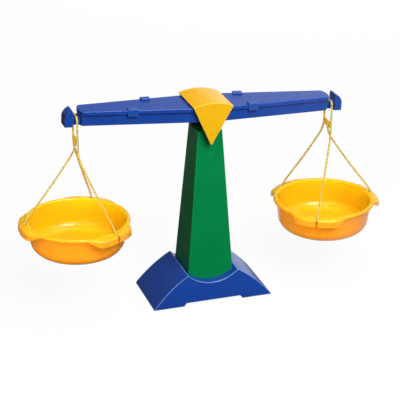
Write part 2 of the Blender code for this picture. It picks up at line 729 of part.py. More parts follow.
def make_beam_cover(parts, cutters, material, frame):
    cover = plate("beam_cover", beam_plan(0.0), COVER_RIM_BOTTOM, COVER_TOP, "XY", parts)
    cover.parent = frame
    round_edges(cover, COVER_EDGE_ROUND)
    ceiling = COVER_TOP - COVER_WALL
    inside = plate(
        "cover_inside", beam_plan(COVER_WALL), COVER_RIM_BOTTOM - OVERRUN, ceiling, "XY", cutters
    )
    combine(cover, [inside], "DIFFERENCE", cutters)
    boss_foot = BODY_BOTTOM + COUNTERBORE_DEPTH + SCREW_SEAT_THICKNESS + GAP
    bosses, pilots = [], []
    for number, x in enumerate(COVER_SCREW_XS, 1):
        boss = rod(f"cover_boss_{number}", COVER_BOSS_RADIUS, boss_foot, ceiling + ROOT, cutters)
        pilot_top = BODY_BOTTOM + COUNTERBORE_DEPTH + COVER_SCREW_LENGTH + GAP
        pilot = rod(
            f"cover_pilot_{number}", SCREW_SHANK_RADIUS + GAP, boss_foot - OVERRUN, pilot_top, cutters
        )
        bosses.append(place(boss, (x, 0.0, 0.0)))
        pilots.append(place(pilot, (x, 0.0, 0.0)))
    cheek_outline = bearing_outline(CHEEK_FOOT_HALF_WIDTH, COVER_TOP - ROOT, 0.0)
    cheeks = [
        plate(f"cheek_{word}", cheek_outline, low, low + CHEEK_THICKNESS, "XZ", cutters)
        for word, low in (("front", -CHEEK_INNER_Y - CHEEK_THICKNESS), ("back", CHEEK_INNER_Y))
    ]
    combine(cover, bosses + cheeks, "UNION", cutters)
    bore = rod("cheek_bore", AXLE_RADIUS + GAP, -AXLE_HALF_LENGTH, AXLE_HALF_LENGTH, cutters)
    place(bore, (0.0, 0.0, 0.0), Matrix.Rotation(math.pi / 2, 4, "X"))
    slots = ear_slots("cover_slot", ceiling, COVER_TOP, cutters)
    half_x = CLIP_RADIUS + GAP
    near_y = CHEEK_INNER_Y + CHEEK_THICKNESS
    far_y = near_y + CLIP_THICKNESS + 2 * GAP
    for word, low_y, high_y in (("front", -far_y, -near_y), ("back", near_y, far_y)):
        low, high = (-half_x, low_y, ceiling - OVERRUN), (half_x, high_y, COVER_TOP + OVERRUN)
        slots.append(block(f"clip_slot_{word}", low, high, cutters))
    combine(cover, pilots + slots + [bore], "DIFFERENCE", cutters)
    return finish(cover, material, frame)


def make_axle(parts, material, frame):
    chamfer = AXLE_RADIUS / 3
    half = AXLE_HALF_LENGTH
    profile = [
        (0.0, half),
        (AXLE_RADIUS - chamfer, half),
        (AXLE_RADIUS, half - chamfer),
        (AXLE_RADIUS, chamfer - half),
        (AXLE_RADIUS - chamfer, -half),
        (0.0, -half),
    ]
    axle = turned("pivot_axle", profile, parts)
    place(axle, (0.0, 0.0, 0.0), Matrix.Rotation(math.pi / 2, 4, "X"))
    return finish(axle, material, frame)


def make_axle_clip(word, side, parts, material, frame):
    inner = AXLE_RADIUS + GAP
    low, high = -CLIP_THICKNESS / 2, CLIP_THICKNESS / 2
    ring = [(inner, high), (CLIP_RADIUS, high), (CLIP_RADIUS, low), (inner, low)]
    clip = turned(f"axle_clip_{word}", ring, parts, closed=True)
    middle = CHEEK_INNER_Y + CHEEK_THICKNESS + GAP + CLIP_THICKNESS / 2
    place(clip, (0.0, side * middle, 0.0), Matrix.Rotation(math.pi / 2, 4, "X"))
    return finish(clip, material, frame)


def saddle_crown(drop, spread):
    """The saddle's arched top, from its right corner to the middle, lowered by drop."""
    half = SADDLE_HALF_WIDTH + spread
    corner = (half, SADDLE_CORNER_RISE)
    rise = SADDLE_CROWN_RISE - SADDLE_CORNER_RISE
    centre, radius = bulged_circle((-half, SADDLE_CORNER_RISE), corner, rise)
    radius = abs(radius) - drop
    start = math.acos(min(1.0, half / radius))
    return arc(centre, radius, start, math.pi / 2)


def make_saddle(parts, cutters, material, frame):
    crown = saddle_crown(0.0, 0.0)
    tip_centre = (0.0, POINTER_TIP_RADIUS - POINTER_TIP_DROP)
    corner = crown[0]
    to_corner = math.hypot(corner[0], corner[1] - tip_centre[1])
    lean = angle_from(tip_centre, corner) - math.acos(POINTER_TIP_RADIUS / to_corner)
    tip = arc(tip_centre, POINTER_TIP_RADIUS, -math.pi / 2, lean, ARC_STEPS // 3)
    outline = mirrored(tip + crown)
    saddle = plate("saddle", outline, -SADDLE_HALF_DEPTH, SADDLE_HALF_DEPTH, "XZ", parts)
    saddle.parent = frame
    round_edges(saddle, SADDLE_EDGE_ROUND, 2, 25.0)
    inner_y = SADDLE_HALF_DEPTH - SADDLE_PLATE
    ceiling = saddle_crown(SADDLE_ROOF, OVERRUN)
    below = -POINTER_TIP_DROP - OVERRUN
    room = mirrored([(0.0, below), (ceiling[0][0], below)] + ceiling)
    hollow = plate("saddle_hollow", room, -inner_y, inner_y, "XZ", cutters)
    combine(saddle, [hollow], "DIFFERENCE", cutters)
    catch_top = BODY_BOTTOM - GAP
    catch_low_y = COVER_CENTRE_HALF_DEPTH - BODY_SETBACK - CATCH_REACH
    catches = []
    for word, side in (("front", -1), ("back", 1)):
        low_y, high_y = sorted((side * catch_low_y, side * (inner_y + ROOT)))
        low = (-CATCH_HALF_WIDTH, low_y, catch_top - CATCH_HEIGHT)
        catches.append(block(f"catch_{word}", low, (CATCH_HALF_WIDTH, high_y, catch_top), cutters))
    combine(saddle, catches, "UNION", cutters)
    return finish(saddle, material, frame)


def make_rider(name, x, side, parts, material, frame):
    """A clip that wraps the cover's rim; its profile is drawn with the rim's top edge at (0, 0)."""
    outer = GAP + RIDER_OUTER_WALL
    foot = -COVER_RIM - GAP
    profile = [
        (-outer, foot - RIDER_LOWER_WALL),
        (RIDER_LOWER_LIP, foot - RIDER_LOWER_WALL),
        (RIDER_LOWER_LIP, foot),
        (-GAP, foot),
        (-GAP, GAP),
        (RIDER_TOP_LIP, GAP),
        (RIDER_TOP_LIP, GAP + RIDER_TOP_WALL),
        (-outer, GAP + RIDER_TOP_WALL),
    ]
    rider = plate(name, profile, -RIDER_LENGTH / 2, RIDER_LENGTH / 2, "YZ", parts)
    round_edges(rider, RIDER_EDGE_ROUND, 1, 40.0)
    heading = math.copysign(EDGE_TAPER, x) * -side
    if side > 0:
        heading += math.pi
    turn = Matrix.Rotation(heading, 4, "Z")
    rider.matrix_local = Matrix.Translation((x, side * rim_half_depth(x), COVER_TOP)) @ turn
    return finish(rider, material, frame)


# The hangers, drawn about the point where the loop hangs on the neck


def smooth_path(points, steps):
    """Points on a Catmull-Rom curve through the given ones."""
    points = [Vector(p) for p in points]
    padded = [2 * points[0] - points[1]] + points + [2 * points[-1] - points[-2]]
    path = []
    for a, b, c, d in zip(padded, padded[1:], padded[2:], padded[3:]):
        for i in range(steps):
            t = i / steps
            linear, square, cube = c - a, 2 * a - 5 * b + 4 * c - d, 3 * b - a - 3 * c + d
            path.append((2 * b + linear * t + square * t**2 + cube * t**3) / 2)
    return path + [points[-1]]


def strand(name, points, radius, cutters):
    curve = bpy.data.curves.new(name, "CURVE")
    curve.dimensions = "3D"
    curve.bevel_depth = radius
    curve.bevel_resolution = 1
    curve.use_fill_caps = True
    spline = curve.splines.new("POLY")
    spline.points.add(len(points) - 1)
    for point, co in zip(spline.points, points):
        point.co = (*co, 1.0)
    obj = bpy.data.objects.new(name, curve)
    cutters.objects.link(obj)
    bpy.context.view_layer.update()
    solid = as_mesh(obj, cutters)
    bm = bmesh.new()
    bm.from_mesh(solid.data)
    bmesh.ops.remove_doubles(bm, verts=bm.verts, dist=GAP / 1000)
    bmesh.ops.recalc_face_normals(bm, faces=bm.faces)
    bm.to_mesh(solid.data)
    bm.free()
    return solid


LEG_RUN_SHARES = ((0.05, 0.12), (0.24, 0.31), (0.50, 0.545), (0.77, 0.775), (0.94, 0.92))


def leg_points(start, angle):
    """A leg from its start down and outwards to its seat in a tab, as shares of its run and fall."""
    rise_out = (LEG_SEAT_RADIUS - PAN_WALL_TOP_RADIUS) / (PAN_RIM_RADIUS + TAB_REACH - PAN_WALL_TOP_RADIUS)
    seat_z = -PAN_DROP - PAN_WALL - TAB_DROP * rise_out
    seat = Vector((LEG_SEAT_RADIUS * math.cos(angle), LEG_SEAT_RADIUS * math.sin(angle), seat_z))
    start = Vector(start)
    points = []
    for run, fall in LEG_RUN_SHARES:
        point = start.lerp(seat, run)
        point.z = start.z + (seat.z - start.z) * fall
        points.append(point)
    slot_half = STRAND_RADIUS + GAP
    foot = seat - Vector((0.0, 0.0, GAP + math.sqrt(BUTTON_RADIUS**2 - slot_half**2)))
    return points + [seat, foot]


def make_hanger(name, front_angle, back_angles, parts, cutters, material, frame):
    top = GAP + STRAND_RADIUS
    near = LOOP_HALF_WIDTH - LOOP_CORNER
    corner = arc((near, top - LOOP_CORNER), LOOP_CORNER, 0.0, math.pi / 2, ARC_STEPS // 2)
    front_side = [Vector((0.0, -v, w)) for v, w in corner]
    back_side = [Vector((0.0, v, w)) for v, w in corner[::-1]]
    front_foot = Vector((0.0, -LOOP_HALF_WIDTH, -LEG_START_DROP))
    back_foot = Vector((0.0, LOOP_HALF_WIDTH, -LEG_START_DROP))
    steps = ARC_STEPS // 3
    front_leg = smooth_path([front_foot] + leg_points(front_foot, front_angle), steps)
    back_leg = smooth_path([back_foot] + leg_points(back_foot, back_angles[0]), steps)
    other_start = back_foot + Vector((0.0, 0.0, LEG_START_DROP - WEB_BOTTOM_DROP + STRAND_RADIUS))
    other_leg = smooth_path([other_start] + leg_points(other_start, back_angles[1]), steps)
    loop = front_leg[::-1] + front_side + back_side + back_leg
    hanger = strand(name, loop, STRAND_RADIUS, cutters)
    cutters.objects.unlink(hanger)
    parts.objects.link(hanger)
    hanger.parent = frame
    web = plate(
        f"{name}_web",
        [
            (-LOOP_HALF_WIDTH, -WEB_BOTTOM_DROP),
            (0.0, -WEB_BOTTOM_DROP + STRAND_RADIUS),
            (LOOP_HALF_WIDTH, -WEB_BOTTOM_DROP),
            (LOOP_HALF_WIDTH, -WEB_TOP_DROP),
            (0.0, -WEB_TOP_DROP - STRAND_RADIUS),
            (-LOOP_HALF_WIDTH, -WEB_TOP_DROP),
        ],
        -WEB_THICKNESS / 2,
        WEB_THICKNESS / 2,
        "YZ",
        cutters,
    )
    pieces = [web, strand(f"{name}_leg", other_leg, LEG_RADIUS, cutters)]
    for number, path in enumerate((front_leg, back_leg, other_leg), 1):
        button = button_ball(f"{name}_button_{number}", cutters)
        pieces.append(place(button, path[-1]))
    combine(hanger, pieces, "UNION", cutters)
    return finish(hanger, material, frame)


def button_ball(name, cutters):
    profile = arc((0.0, 0.0), BUTTON_RADIUS, math.pi / 2, -math.pi / 2, ARC_STEPS // 2)
    profile[0] = (0.0, BUTTON_RADIUS)
    profile[-1] = (0.0, -BUTTON_RADIUS)
    return turned(name, profile, cutters, TURN_STEPS // 2)


# The pans, drawn about the point where the loop hangs on the neck


def lobe(angle, tab_angles):
    """1 across each tab, falling smoothly to 0 beside it."""
    away = min(abs((angle - tab + math.pi) % (2 * math.pi) - math.pi) for tab in tab_angles)
    share = min(1.0, max(0.0, (away - TAB_FLAT_HALF_ANGLE) / TAB_BLEND_ANGLE))
    return (1 + math.cos(math.pi * share)) / 2


def pan_profile():
    """Half section of the sheet's under side, from the lip's lower edge over the rim to the middle."""
    foot_z = PAN_CORNER_RADIUS - PAN_DEPTH
    corner_centre = (PAN_WALL_FOOT_RADIUS - PAN_CORNER_RADIUS, foot_z)
    corner = arc(corner_centre, PAN_CORNER_RADIUS, 0.0, -math.pi / 2, ARC_STEPS // 2 - 1)
    wall = [(PAN_WALL_TOP_RADIUS, -PAN_RIM_DROP)]
    lip = PAN_RIM_RADIUS - PAN_WALL
    rim = [
        (lip, -PAN_RIM_DROP),
        (lip - PAN_RIM_DROP / 4, -PAN_RIM_DROP / 4),
        ((lip + PAN_WALL_TOP_RADIUS) / 2, 0.0),
        (PAN_WALL_TOP_RADIUS + PAN_RIM_DROP / 4, -PAN_RIM_DROP / 4),
    ]
    return rim + wall + corner + [(0.0, -PAN_DEPTH)]


def widen_tabs(mesh, tab_angles):
    """Draws the rim outwards and down into a tab wherever the lobe is not zero."""
    lip = PAN_RIM_RADIUS - PAN_WALL
    rim_width = lip - PAN_WALL_TOP_RADIUS
    for vert in mesh.vertices:
        radius = math.hypot(vert.co.x, vert.co.y)
        if radius <= PAN_WALL_TOP_RADIUS + GAP:
            continue
        weight = lobe(math.atan2(vert.co.y, vert.co.x), tab_angles)
        share = (radius - PAN_WALL_TOP_RADIUS) / rim_width
        wider = radius + weight * TAB_REACH * min(1.0, share * TAB_SPREAD_SHARE)
        skirt = TAB_SKIRT if radius > lip - GAP else TAB_DROP * share
        vert.co.x *= wider / radius
        vert.co.y *= wider / radius
        vert.co.z -= weight * skirt


def make_pan(name, tab_angles, parts, cutters, material, frame):
    pan = turned(name, pan_profile(), parts, PAN_STEPS)
    lowest = min(pan.data.polygons, key=lambda face: face.center.z)
    if lowest.normal.z > 0:
        pan.data.flip_normals()
    widen_tabs(pan.data, tab_angles)
    place(pan, (0.0, 0.0, -PAN_DROP - PAN_WALL))
    pan.parent = frame
    shell = pan.modifiers.new("wall", "SOLIDIFY")
    shell.thickness = PAN_WALL
    shell.offset = -1.0
    shell.use_even_offset = True
    half = STRAND_RADIUS + GAP
    slots = []
    for number, angle in enumerate(tab_angles, 1):
        slot = block(
            f"{name}_slot_{number}",
            (LEG_SEAT_RADIUS - half - SLOT_LEAD, -half, -PAN_DROP - PAN_WALL - TAB_SKIRT - BUTTON_RADIUS),
            (LEG_SEAT_RADIUS + TAB_REACH + OVERRUN, half, -PAN_DROP + OVERRUN),
            cutters,
        )
        slots.append(place(slot, (0.0, 0.0, 0.0), Matrix.Rotation(angle, 4, "Z")))
    combine(pan, slots, "DIFFERENCE", cutters)
    return finish(pan, material, frame)


def main():
    clear_scene()
    parts = make_collection("balance_scale")
    cutters = make_collection("cutters")
    blue = make_material("blue_plastic", BLUE, 0.28)
    green = make_material("green_plastic", GREEN, 0.30)
    yellow = make_material("yellow_plastic", YELLOW, 0.30)
    amber = make_material("amber_plastic", AMBER, 0.34)
    steel = make_material("steel", STEEL, 0.25, 1.0)

    make_base(parts, cutters, blue)
    make_column(parts, cutters, green)
    for number, (x, y) in enumerate(column_screw_places(), 1):
        place_at = (x, y, BASE_BOSS_FLOOR_Z)
        make_screw(f"column_screw_{number}", COLUMN_SCREW_LENGTH, place_at, parts, steel)

    beam = make_frame("beam_pivot", parts, (0.0, 0.0, PIVOT_Z), BEAM_REST_TILT)
    make_beam_body(parts, cutters, blue, beam)
    make_beam_cover(parts, cutters, blue, beam)
    for number, x in enumerate(COVER_SCREW_XS, 1):
        place_at = (x, 0.0, BODY_BOTTOM + COUNTERBORE_DEPTH)
        make_screw(f"cover_screw_{number}", COVER_SCREW_LENGTH, place_at, parts, steel, beam)
    make_axle(parts, steel, beam)
    make_axle_clip("front", -1, parts, steel, beam)
    make_axle_clip("back", 1, parts, steel, beam)
    make_saddle(parts, cutters, yellow, beam)
    make_rider("rider_left_front", RIDER_LEFT_FRONT_X, -1, parts, blue, beam)
    make_rider("rider_left_back", RIDER_LEFT_BACK_X, 1, parts, blue, beam)
    make_rider("rider_right_front", RIDER_RIGHT_FRONT_X, -1, parts, blue, beam)
    make_rider("rider_right_back", RIDER_RIGHT_BACK_X, 1, parts, blue, beam)

    for word, side, angles in (("left", -1, LEFT_TAB_ANGLES), ("right", 1, RIGHT_TAB_ANGLES)):
        tilt = Matrix.Rotation(BEAM_REST_TILT, 3, "Y")
        seat = tilt @ Vector((side * ARM, 0.0, SEAT_Z)) + Vector((0.0, 0.0, PIVOT_Z))
        swing = make_frame(f"hanger_{word}_pivot", parts, seat)
        front = min(angles, key=math.sin)
        others = [a for a in angles if a != front]
        make_hanger(f"hanger_{word}", front, others, parts, cutters, amber, swing)
        make_pan(f"pan_{word}", angles, parts, cutters, yellow, swing)


main()
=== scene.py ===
"""The looks of a two-pan classroom balance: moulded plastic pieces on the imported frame, in a pale studio.

Metres, +Z up. The origin is the centre of the base's footprint, X runs along the beam, -Y is the front.
"""
import json
import math

import bmesh
import bpy
from mathutils import Matrix, Vector

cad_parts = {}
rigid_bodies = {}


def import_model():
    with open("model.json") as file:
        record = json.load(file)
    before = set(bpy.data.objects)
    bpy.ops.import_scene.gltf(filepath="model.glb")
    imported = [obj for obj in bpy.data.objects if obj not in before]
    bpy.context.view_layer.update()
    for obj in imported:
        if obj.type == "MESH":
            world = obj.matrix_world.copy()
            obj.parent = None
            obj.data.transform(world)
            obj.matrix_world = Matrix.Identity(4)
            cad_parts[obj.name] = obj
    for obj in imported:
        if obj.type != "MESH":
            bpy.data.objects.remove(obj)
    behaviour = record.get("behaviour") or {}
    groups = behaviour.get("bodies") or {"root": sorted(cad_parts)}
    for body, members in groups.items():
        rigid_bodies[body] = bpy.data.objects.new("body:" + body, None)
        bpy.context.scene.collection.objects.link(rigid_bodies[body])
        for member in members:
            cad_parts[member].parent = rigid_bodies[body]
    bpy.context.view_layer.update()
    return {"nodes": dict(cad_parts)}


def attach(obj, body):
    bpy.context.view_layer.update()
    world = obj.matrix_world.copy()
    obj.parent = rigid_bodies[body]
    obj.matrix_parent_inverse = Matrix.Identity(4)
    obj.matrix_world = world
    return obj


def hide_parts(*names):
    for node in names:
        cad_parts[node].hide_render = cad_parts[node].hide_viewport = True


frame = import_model()

MM = 0.001
GAP = 0.3 * MM
OVERRUN = 2.0 * MM
ROOT = 0.8 * MM

# Base
BASE_HALF_LENGTH = 72.0 * MM
BASE_HALF_DEPTH = 38.0 * MM
BASE_HEIGHT = 37.6 * MM
BASE_SHOULDER_X = 30.2 * MM
BASE_TOP_HALF_DEPTH = 35.0 * MM
BASE_END_BULGE = 2.6 * MM
BASE_DIP = 12.0 * MM
BASE_WALL = 2.2 * MM
BASE_EDGE_ROUND = 0.9 * MM
FOOT_NOTCH_HALF_LENGTH = 36.0 * MM
FOOT_NOTCH_HEIGHT = 4.0 * MM
FOOT_NOTCH_SLOPE = 3.3 * MM

# Column
COLUMN_HEIGHT = 204.8 * MM
COLUMN_TOP_HALF_WIDTH = 14.4 * MM
COLUMN_TOP_HALF_DEPTH = 16.6 * MM
COLUMN_FOOT_HALF_WIDTH = 27.0 * MM
COLUMN_FOOT_HALF_DEPTH = 25.0 * MM
COLUMN_WALL = 2.0 * MM
COLUMN_EDGE_ROUND = 0.9 * MM
INDEX_HALF_WIDTH = 2.7 * MM
INDEX_HEIGHT = 8.4 * MM
INDEX_TOP_DROP = 23.8 * MM
INDEX_TOP_Z = COLUMN_HEIGHT - INDEX_TOP_DROP
INDEX_RELIEF = 0.6 * MM

# Screws
BOSS_SKIN = 0.3 * MM
COLUMN_SCREW_LENGTH = 20.0 * MM
COLUMN_BOSS_TOP_Z = 50.0 * MM
SCREW_SHANK_RADIUS = 1.5 * MM
SCREW_HOLE_RADIUS = SCREW_SHANK_RADIUS + GAP
SCREW_HEAD_RADIUS = 2.9 * MM
BOSS_RADIUS = 3.8 * MM
BASE_BOSS_FLOOR_Z = 21.0 * MM

# Fulcrum
PIVOT_RISE = 30.7 * MM
PIVOT_Z = COLUMN_HEIGHT + PIVOT_RISE
BEAM_TILT_LIMIT = math.radians(10.0)
BEAM_REST_TILT = math.radians(2.6)
AXLE_RADIUS = 1.3 * MM
BEARING_HEAD_RADIUS = 3.2 * MM
EAR_CENTRE_Y = 12.5 * MM
EAR_THICKNESS = 4.0 * MM
EAR_INNER_Y = EAR_CENTRE_Y - EAR_THICKNESS / 2
EAR_OUTER_Y = EAR_CENTRE_Y + EAR_THICKNESS / 2
EAR_FOOT_HALF_WIDTH = 7.0 * MM
CHEEK_INNER_Y = 15.8 * MM
CHEEK_THICKNESS = 3.0 * MM
CHEEK_FOOT_HALF_WIDTH = 7.0 * MM
CLIP_RADIUS = 2.9 * MM
CLIP_THICKNESS = 0.8 * MM
STOP_PLAY = 0.6 * MM

# Beam, level in its own frame, heights from the pivot
COVER_TOP = -0.8 * MM
COVER_HALF_LENGTH = 147.7 * MM
COVER_CENTRE_HALF_DEPTH = 25.1 * MM
COVER_END_HALF_DEPTH = 12.1 * MM
COVER_END_BULGE = 3.6 * MM
COVER_RIM = 4.6 * MM
COVER_WALL = 2.0 * MM
COVER_EDGE_ROUND = 0.7 * MM
BODY_DEPTH = 17.1 * MM
BODY_SETBACK = 2.4 * MM
BODY_END_SETBACK = 0.4 * MM
BODY_WALL = 1.8 * MM
BODY_FLOOR = 2.0 * MM
BODY_EDGE_ROUND = 0.8 * MM
COVER_RIM_BOTTOM = COVER_TOP - COVER_RIM
BODY_BOTTOM = COVER_TOP - BODY_DEPTH
BODY_TOP = COVER_TOP - COVER_WALL - GAP
FLOOR_TOP = BODY_BOTTOM + BODY_FLOOR
SEAT_REACH = 2.3 * MM
ARM = COVER_HALF_LENGTH + SEAT_REACH
NECK_DROP = 8.7 * MM
SEAT_Z = COVER_TOP - NECK_DROP
NECK_HALF_DEPTH = 6.0 * MM
SEAT_RADIUS = 4.0 * MM
SEAT_END_ANGLE = math.radians(340.0)
NIB_REACH = 4.6 * MM
NIB_LENGTH = 8.6 * MM
NIB_INNER_X = ARM + NIB_REACH
NIB_OUTER_X = NIB_INNER_X + NIB_LENGTH
NIB_RISE = 0.8 * MM
NIB_LAND = 0.8 * MM
NIB_BULGE = 2.3 * MM
NIB_HALF_DEPTH = 8.5 * MM
NIB_SHOULDER_DROP = 11.5 * MM
NIB_BELOW_BODY = 1.2 * MM
TONGUE_ROOT = 4.4 * MM
NIB_EDGE_ROUND = 0.8 * MM
INNER_SCREW_X = 46.0 * MM
COVER_SCREW_END_SPACE = 35.7 * MM
OUTER_SCREW_X = COVER_HALF_LENGTH - COVER_SCREW_END_SPACE
COVER_SCREW_PLACES = [(x, 0.0) for x in (-OUTER_SCREW_X, -INNER_SCREW_X, INNER_SCREW_X, OUTER_SCREW_X)]
COVER_SCREW_LENGTH = 8.0 * MM
COVER_BOSS_RADIUS = 3.4 * MM
COUNTERBORE_DEPTH = 2.6 * MM
SCREW_SEAT_THICKNESS = 2.0 * MM
SINK_TOP = BODY_BOTTOM + COUNTERBORE_DEPTH
SCREW_SEAT_TOP = SINK_TOP + SCREW_SEAT_THICKNESS

# Saddle
SADDLE_HALF_WIDTH = 23.5 * MM
SADDLE_HALF_DEPTH = 27.2 * MM
SADDLE_CROWN_RISE = 5.8 * MM
SADDLE_CORNER_RISE = 1.5 * MM
SADDLE_ROOF = 2.0 * MM
SADDLE_PLATE = 1.8 * MM
SADDLE_EDGE_ROUND = 0.5 * MM
POINTER_TIP_DROP = 43.3 * MM
POINTER_TIP_RADIUS = 0.9 * MM
CATCH_HALF_WIDTH = 4.5 * MM
CATCH_HEIGHT = 1.8 * MM
CATCH_REACH = 1.5 * MM

# Riders
RIDER_LENGTH = 10.8 * MM
RIDER_OUTER_WALL = 1.3 * MM
RIDER_TOP_WALL = 1.5 * MM
RIDER_TOP_LIP = 6.6 * MM
RIDER_LOWER_LIP = 1.4 * MM
RIDER_LOWER_WALL = 1.8 * MM
RIDER_EDGE_ROUND = 0.45 * MM
RIDERS = (
    ("rider_left_front", -89.5 * MM, -1),
    ("rider_left_back", -65.8 * MM, 1),
    ("rider_right_front", 49.0 * MM, -1),
    ("rider_right_back", 44.4 * MM, 1),
)

# Hangers
STRAND_RADIUS = 1.15 * MM
LOOP_HALF_WIDTH = 10.0 * MM
LOOP_CORNER = 4.0 * MM
WEB_TOP_DROP = 23.0 * MM
WEB_BOTTOM_DROP = 31.5 * MM
WEB_THICKNESS = 1.8 * MM
WEB_EDGE_ROUND = WEB_THICKNESS / 5
LEG_RADIUS = 1.05 * MM
FRONT_LEG_DROP = 38.0 * MM
BACK_LEG_DROP = 28.0 * MM
BUTTON_RADIUS = 2.1 * MM
LEG_RUN_SHARES = ((0.05, 0.12), (0.24, 0.31), (0.50, 0.545), (0.77, 0.775), (0.94, 0.92))

# Pans
PAN_DROP = 121.3 * MM
PAN_DEPTH = 35.8 * MM
PAN_WALL_TOP_RADIUS = 56.0 * MM
PAN_WALL_FOOT_RADIUS = 53.4 * MM
PAN_CORNER_RADIUS = 14.0 * MM
PAN_RIM_RADIUS = 59.6 * MM
PAN_RIM_DROP = 1.6 * MM
PAN_RIM_ROUND = 0.9 * MM
PAN_WALL = 1.5 * MM
TAB_REACH = 6.6 * MM
TAB_SKIRT = 6.8 * MM
TAB_DROP = 1.4 * MM
TAB_EDGE_ROUND = 1.1 * MM
TAB_FLAT_HALF_ANGLE = math.radians(18.0)
TAB_BLEND_ANGLE = math.radians(17.0)
LEG_SEAT_SETBACK = 5.0 * MM
LEG_SEAT_RADIUS = PAN_RIM_RADIUS + TAB_REACH - LEG_SEAT_SETBACK
SLOT_LEAD = 2.0 * MM
LEFT_TAB_ANGLES = tuple(math.radians(a) for a in (180.0, 300.0, 60.0))
RIGHT_TAB_ANGLES = tuple(math.radians(a) for a in (0.0, 120.0, 240.0))

# Fineness of the meshes
MERGE_DISTANCE = GAP / 1000
AXIS_MERGE_DISTANCE = GAP / 10
FLAT_ANGLE = math.radians(0.05)
SMOOTH_ANGLE = math.radians(30.0)
METAL_SMOOTH_ANGLE = math.radians(35.0)
FACE_WEIGHT = 80
EDGE_ANGLE = math.radians(35.0)
BEAM_END_EDGE_ANGLE = math.radians(50.0)
SADDLE_EDGE_ANGLE = math.radians(25.0)
RIDER_EDGE_ANGLE = math.radians(40.0)
WEB_EDGE_SEGMENTS = 2
EDGE_SEGMENTS = 3
WIDE_EDGE_SEGMENTS = 4
ARC_STEPS = 24
TURN_STEPS = 32
LEG_STEPS = 8
STRAND_RESOLUTION = 4
PAN_STEPS = 144
PAN_LIP_STEPS = 6
PAN_EDGE_STEPS = 5
PAN_FLANGE_STEPS = 8
PAN_INNER_EDGE_STEPS = 3
PAN_WALL_STEPS = 6
PAN_CORNER_STEPS = 10
FLANGE_FALL_POWER = 1.5

# Strips of surface that are narrower than this are rounded edges, which take a painted highlight
EDGE_HIGHLIGHT_STRIP = 0.5 * MM

# How much a surface that faces down takes the pan's painted outer shade
PAINTED_SHADE_DROP_SHARE = 0.8

cutters = bpy.data.collections.new("cutters")
bpy.context.scene.collection.children.link(cutters)


# Points of outlines


def arc(centre, radius, start, end, steps=ARC_STEPS):
    """Points along a circle from one angle to another, ends included."""
    step = (end - start) / steps
    angles = [start + i * step for i in range(steps + 1)]
    return [(centre[0] + radius * math.cos(a), centre[1] + radius * math.sin(a)) for a in angles]


def bulged_circle(start, end, bulge):
    """Centre and radius of the circle through two points that bulges to the left of start to end."""
    start, end = Vector(start), Vector(end)
    chord = end - start
    radius = (chord.length**2 / 4 + bulge**2) / (2 * bulge)
    left = Vector((-chord.y, chord.x)).normalized()
    return (start + end) / 2 - left * (radius - bulge), radius


def angle_from(centre, point):
    return math.atan2(point[1] - centre[1], point[0] - centre[0])


def arc_between(centre, radius, first, last):
    """Points along a circle from one of its points to another."""
    return arc(centre, radius, angle_from(centre, first), angle_from(centre, last), ARC_STEPS // 2)


def straight_run(first, last, steps):
    """Points evenly along a line from the first point, with the last left out."""
    return [tuple(Vector(first).lerp(last, i / steps)) for i in range(steps)]


def circles_meet(first, first_radius, second, second_radius, near):
    """The meeting point of two circles that lies nearer to a given point."""
    between = Vector(second) - Vector(first)
    along = (between.length**2 + first_radius**2 - second_radius**2) / (2 * between.length)
    across = math.sqrt(first_radius**2 - along**2)
    foot = Vector(first) + between.normalized() * along
    side = Vector((-between.y, between.x)).normalized() * across
    return min((foot + side, foot - side), key=lambda p: (p - Vector(near)).length)


def front_and_back(near, far):
    """The ranges along Y between two distances from the middle, in front and behind."""
    return (-far, -near), (near, far)


def mirrored(half):
    """A whole outline from its +X half, whose points run from one end of the axis to the other."""
    return half + [(-u, v) for u, v in reversed(half) if u > 0]


# Solids


def add_object(name, mesh):
    obj = bpy.data.objects.new(name, mesh)
    cutters.objects.link(obj)
    return obj


def mesh_object(name, bm):
    """An object of a mesh that has been built."""
    mesh = bpy.data.meshes.new(name)
    bm.to_mesh(mesh)
    bm.free()
    return add_object(name, mesh)


def bring_out(obj):
    """Moves a finished object from the cutters into the scene."""
    cutters.objects.unlink(obj)
    bpy.context.scene.collection.objects.link(obj)


def tidy_mesh(mesh, flat=True):
    """Welds a mesh, joins its coplanar faces if it has flat ones, and turns its faces outwards."""
    bm = bmesh.new()
    bm.from_mesh(mesh)
    bmesh.ops.remove_doubles(bm, verts=bm.verts, dist=MERGE_DISTANCE)
    if flat:
        bmesh.ops.dissolve_limit(bm, angle_limit=FLAT_ANGLE, verts=bm.verts, edges=bm.edges)
    bmesh.ops.recalc_face_normals(bm, faces=bm.faces)
    bm.to_mesh(mesh)
    bm.free()


def baked(obj, name=None):
    """A plain mesh object with the object's evaluated shape, in place; the old object is removed."""
    bpy.context.view_layer.update()
    graph = bpy.context.evaluated_depsgraph_get()
    mesh = bpy.data.meshes.new_from_object(obj.evaluated_get(graph), depsgraph=graph)
    mesh.transform(obj.matrix_world)
    name = name or obj.name
    bpy.data.objects.remove(obj)
    mesh.name = name
    return add_object(name, mesh)


def straight_curve(name, dimensions, points):
    """A curve that runs straight from point to point."""
    curve = bpy.data.curves.new(name, "CURVE")
    curve.dimensions = dimensions
    spline = curve.splines.new("POLY")
    spline.points.add(len(points) - 1)
    for spline_point, point in zip(spline.points, points):
        spline_point.co = (*point, 1.0)
    return curve


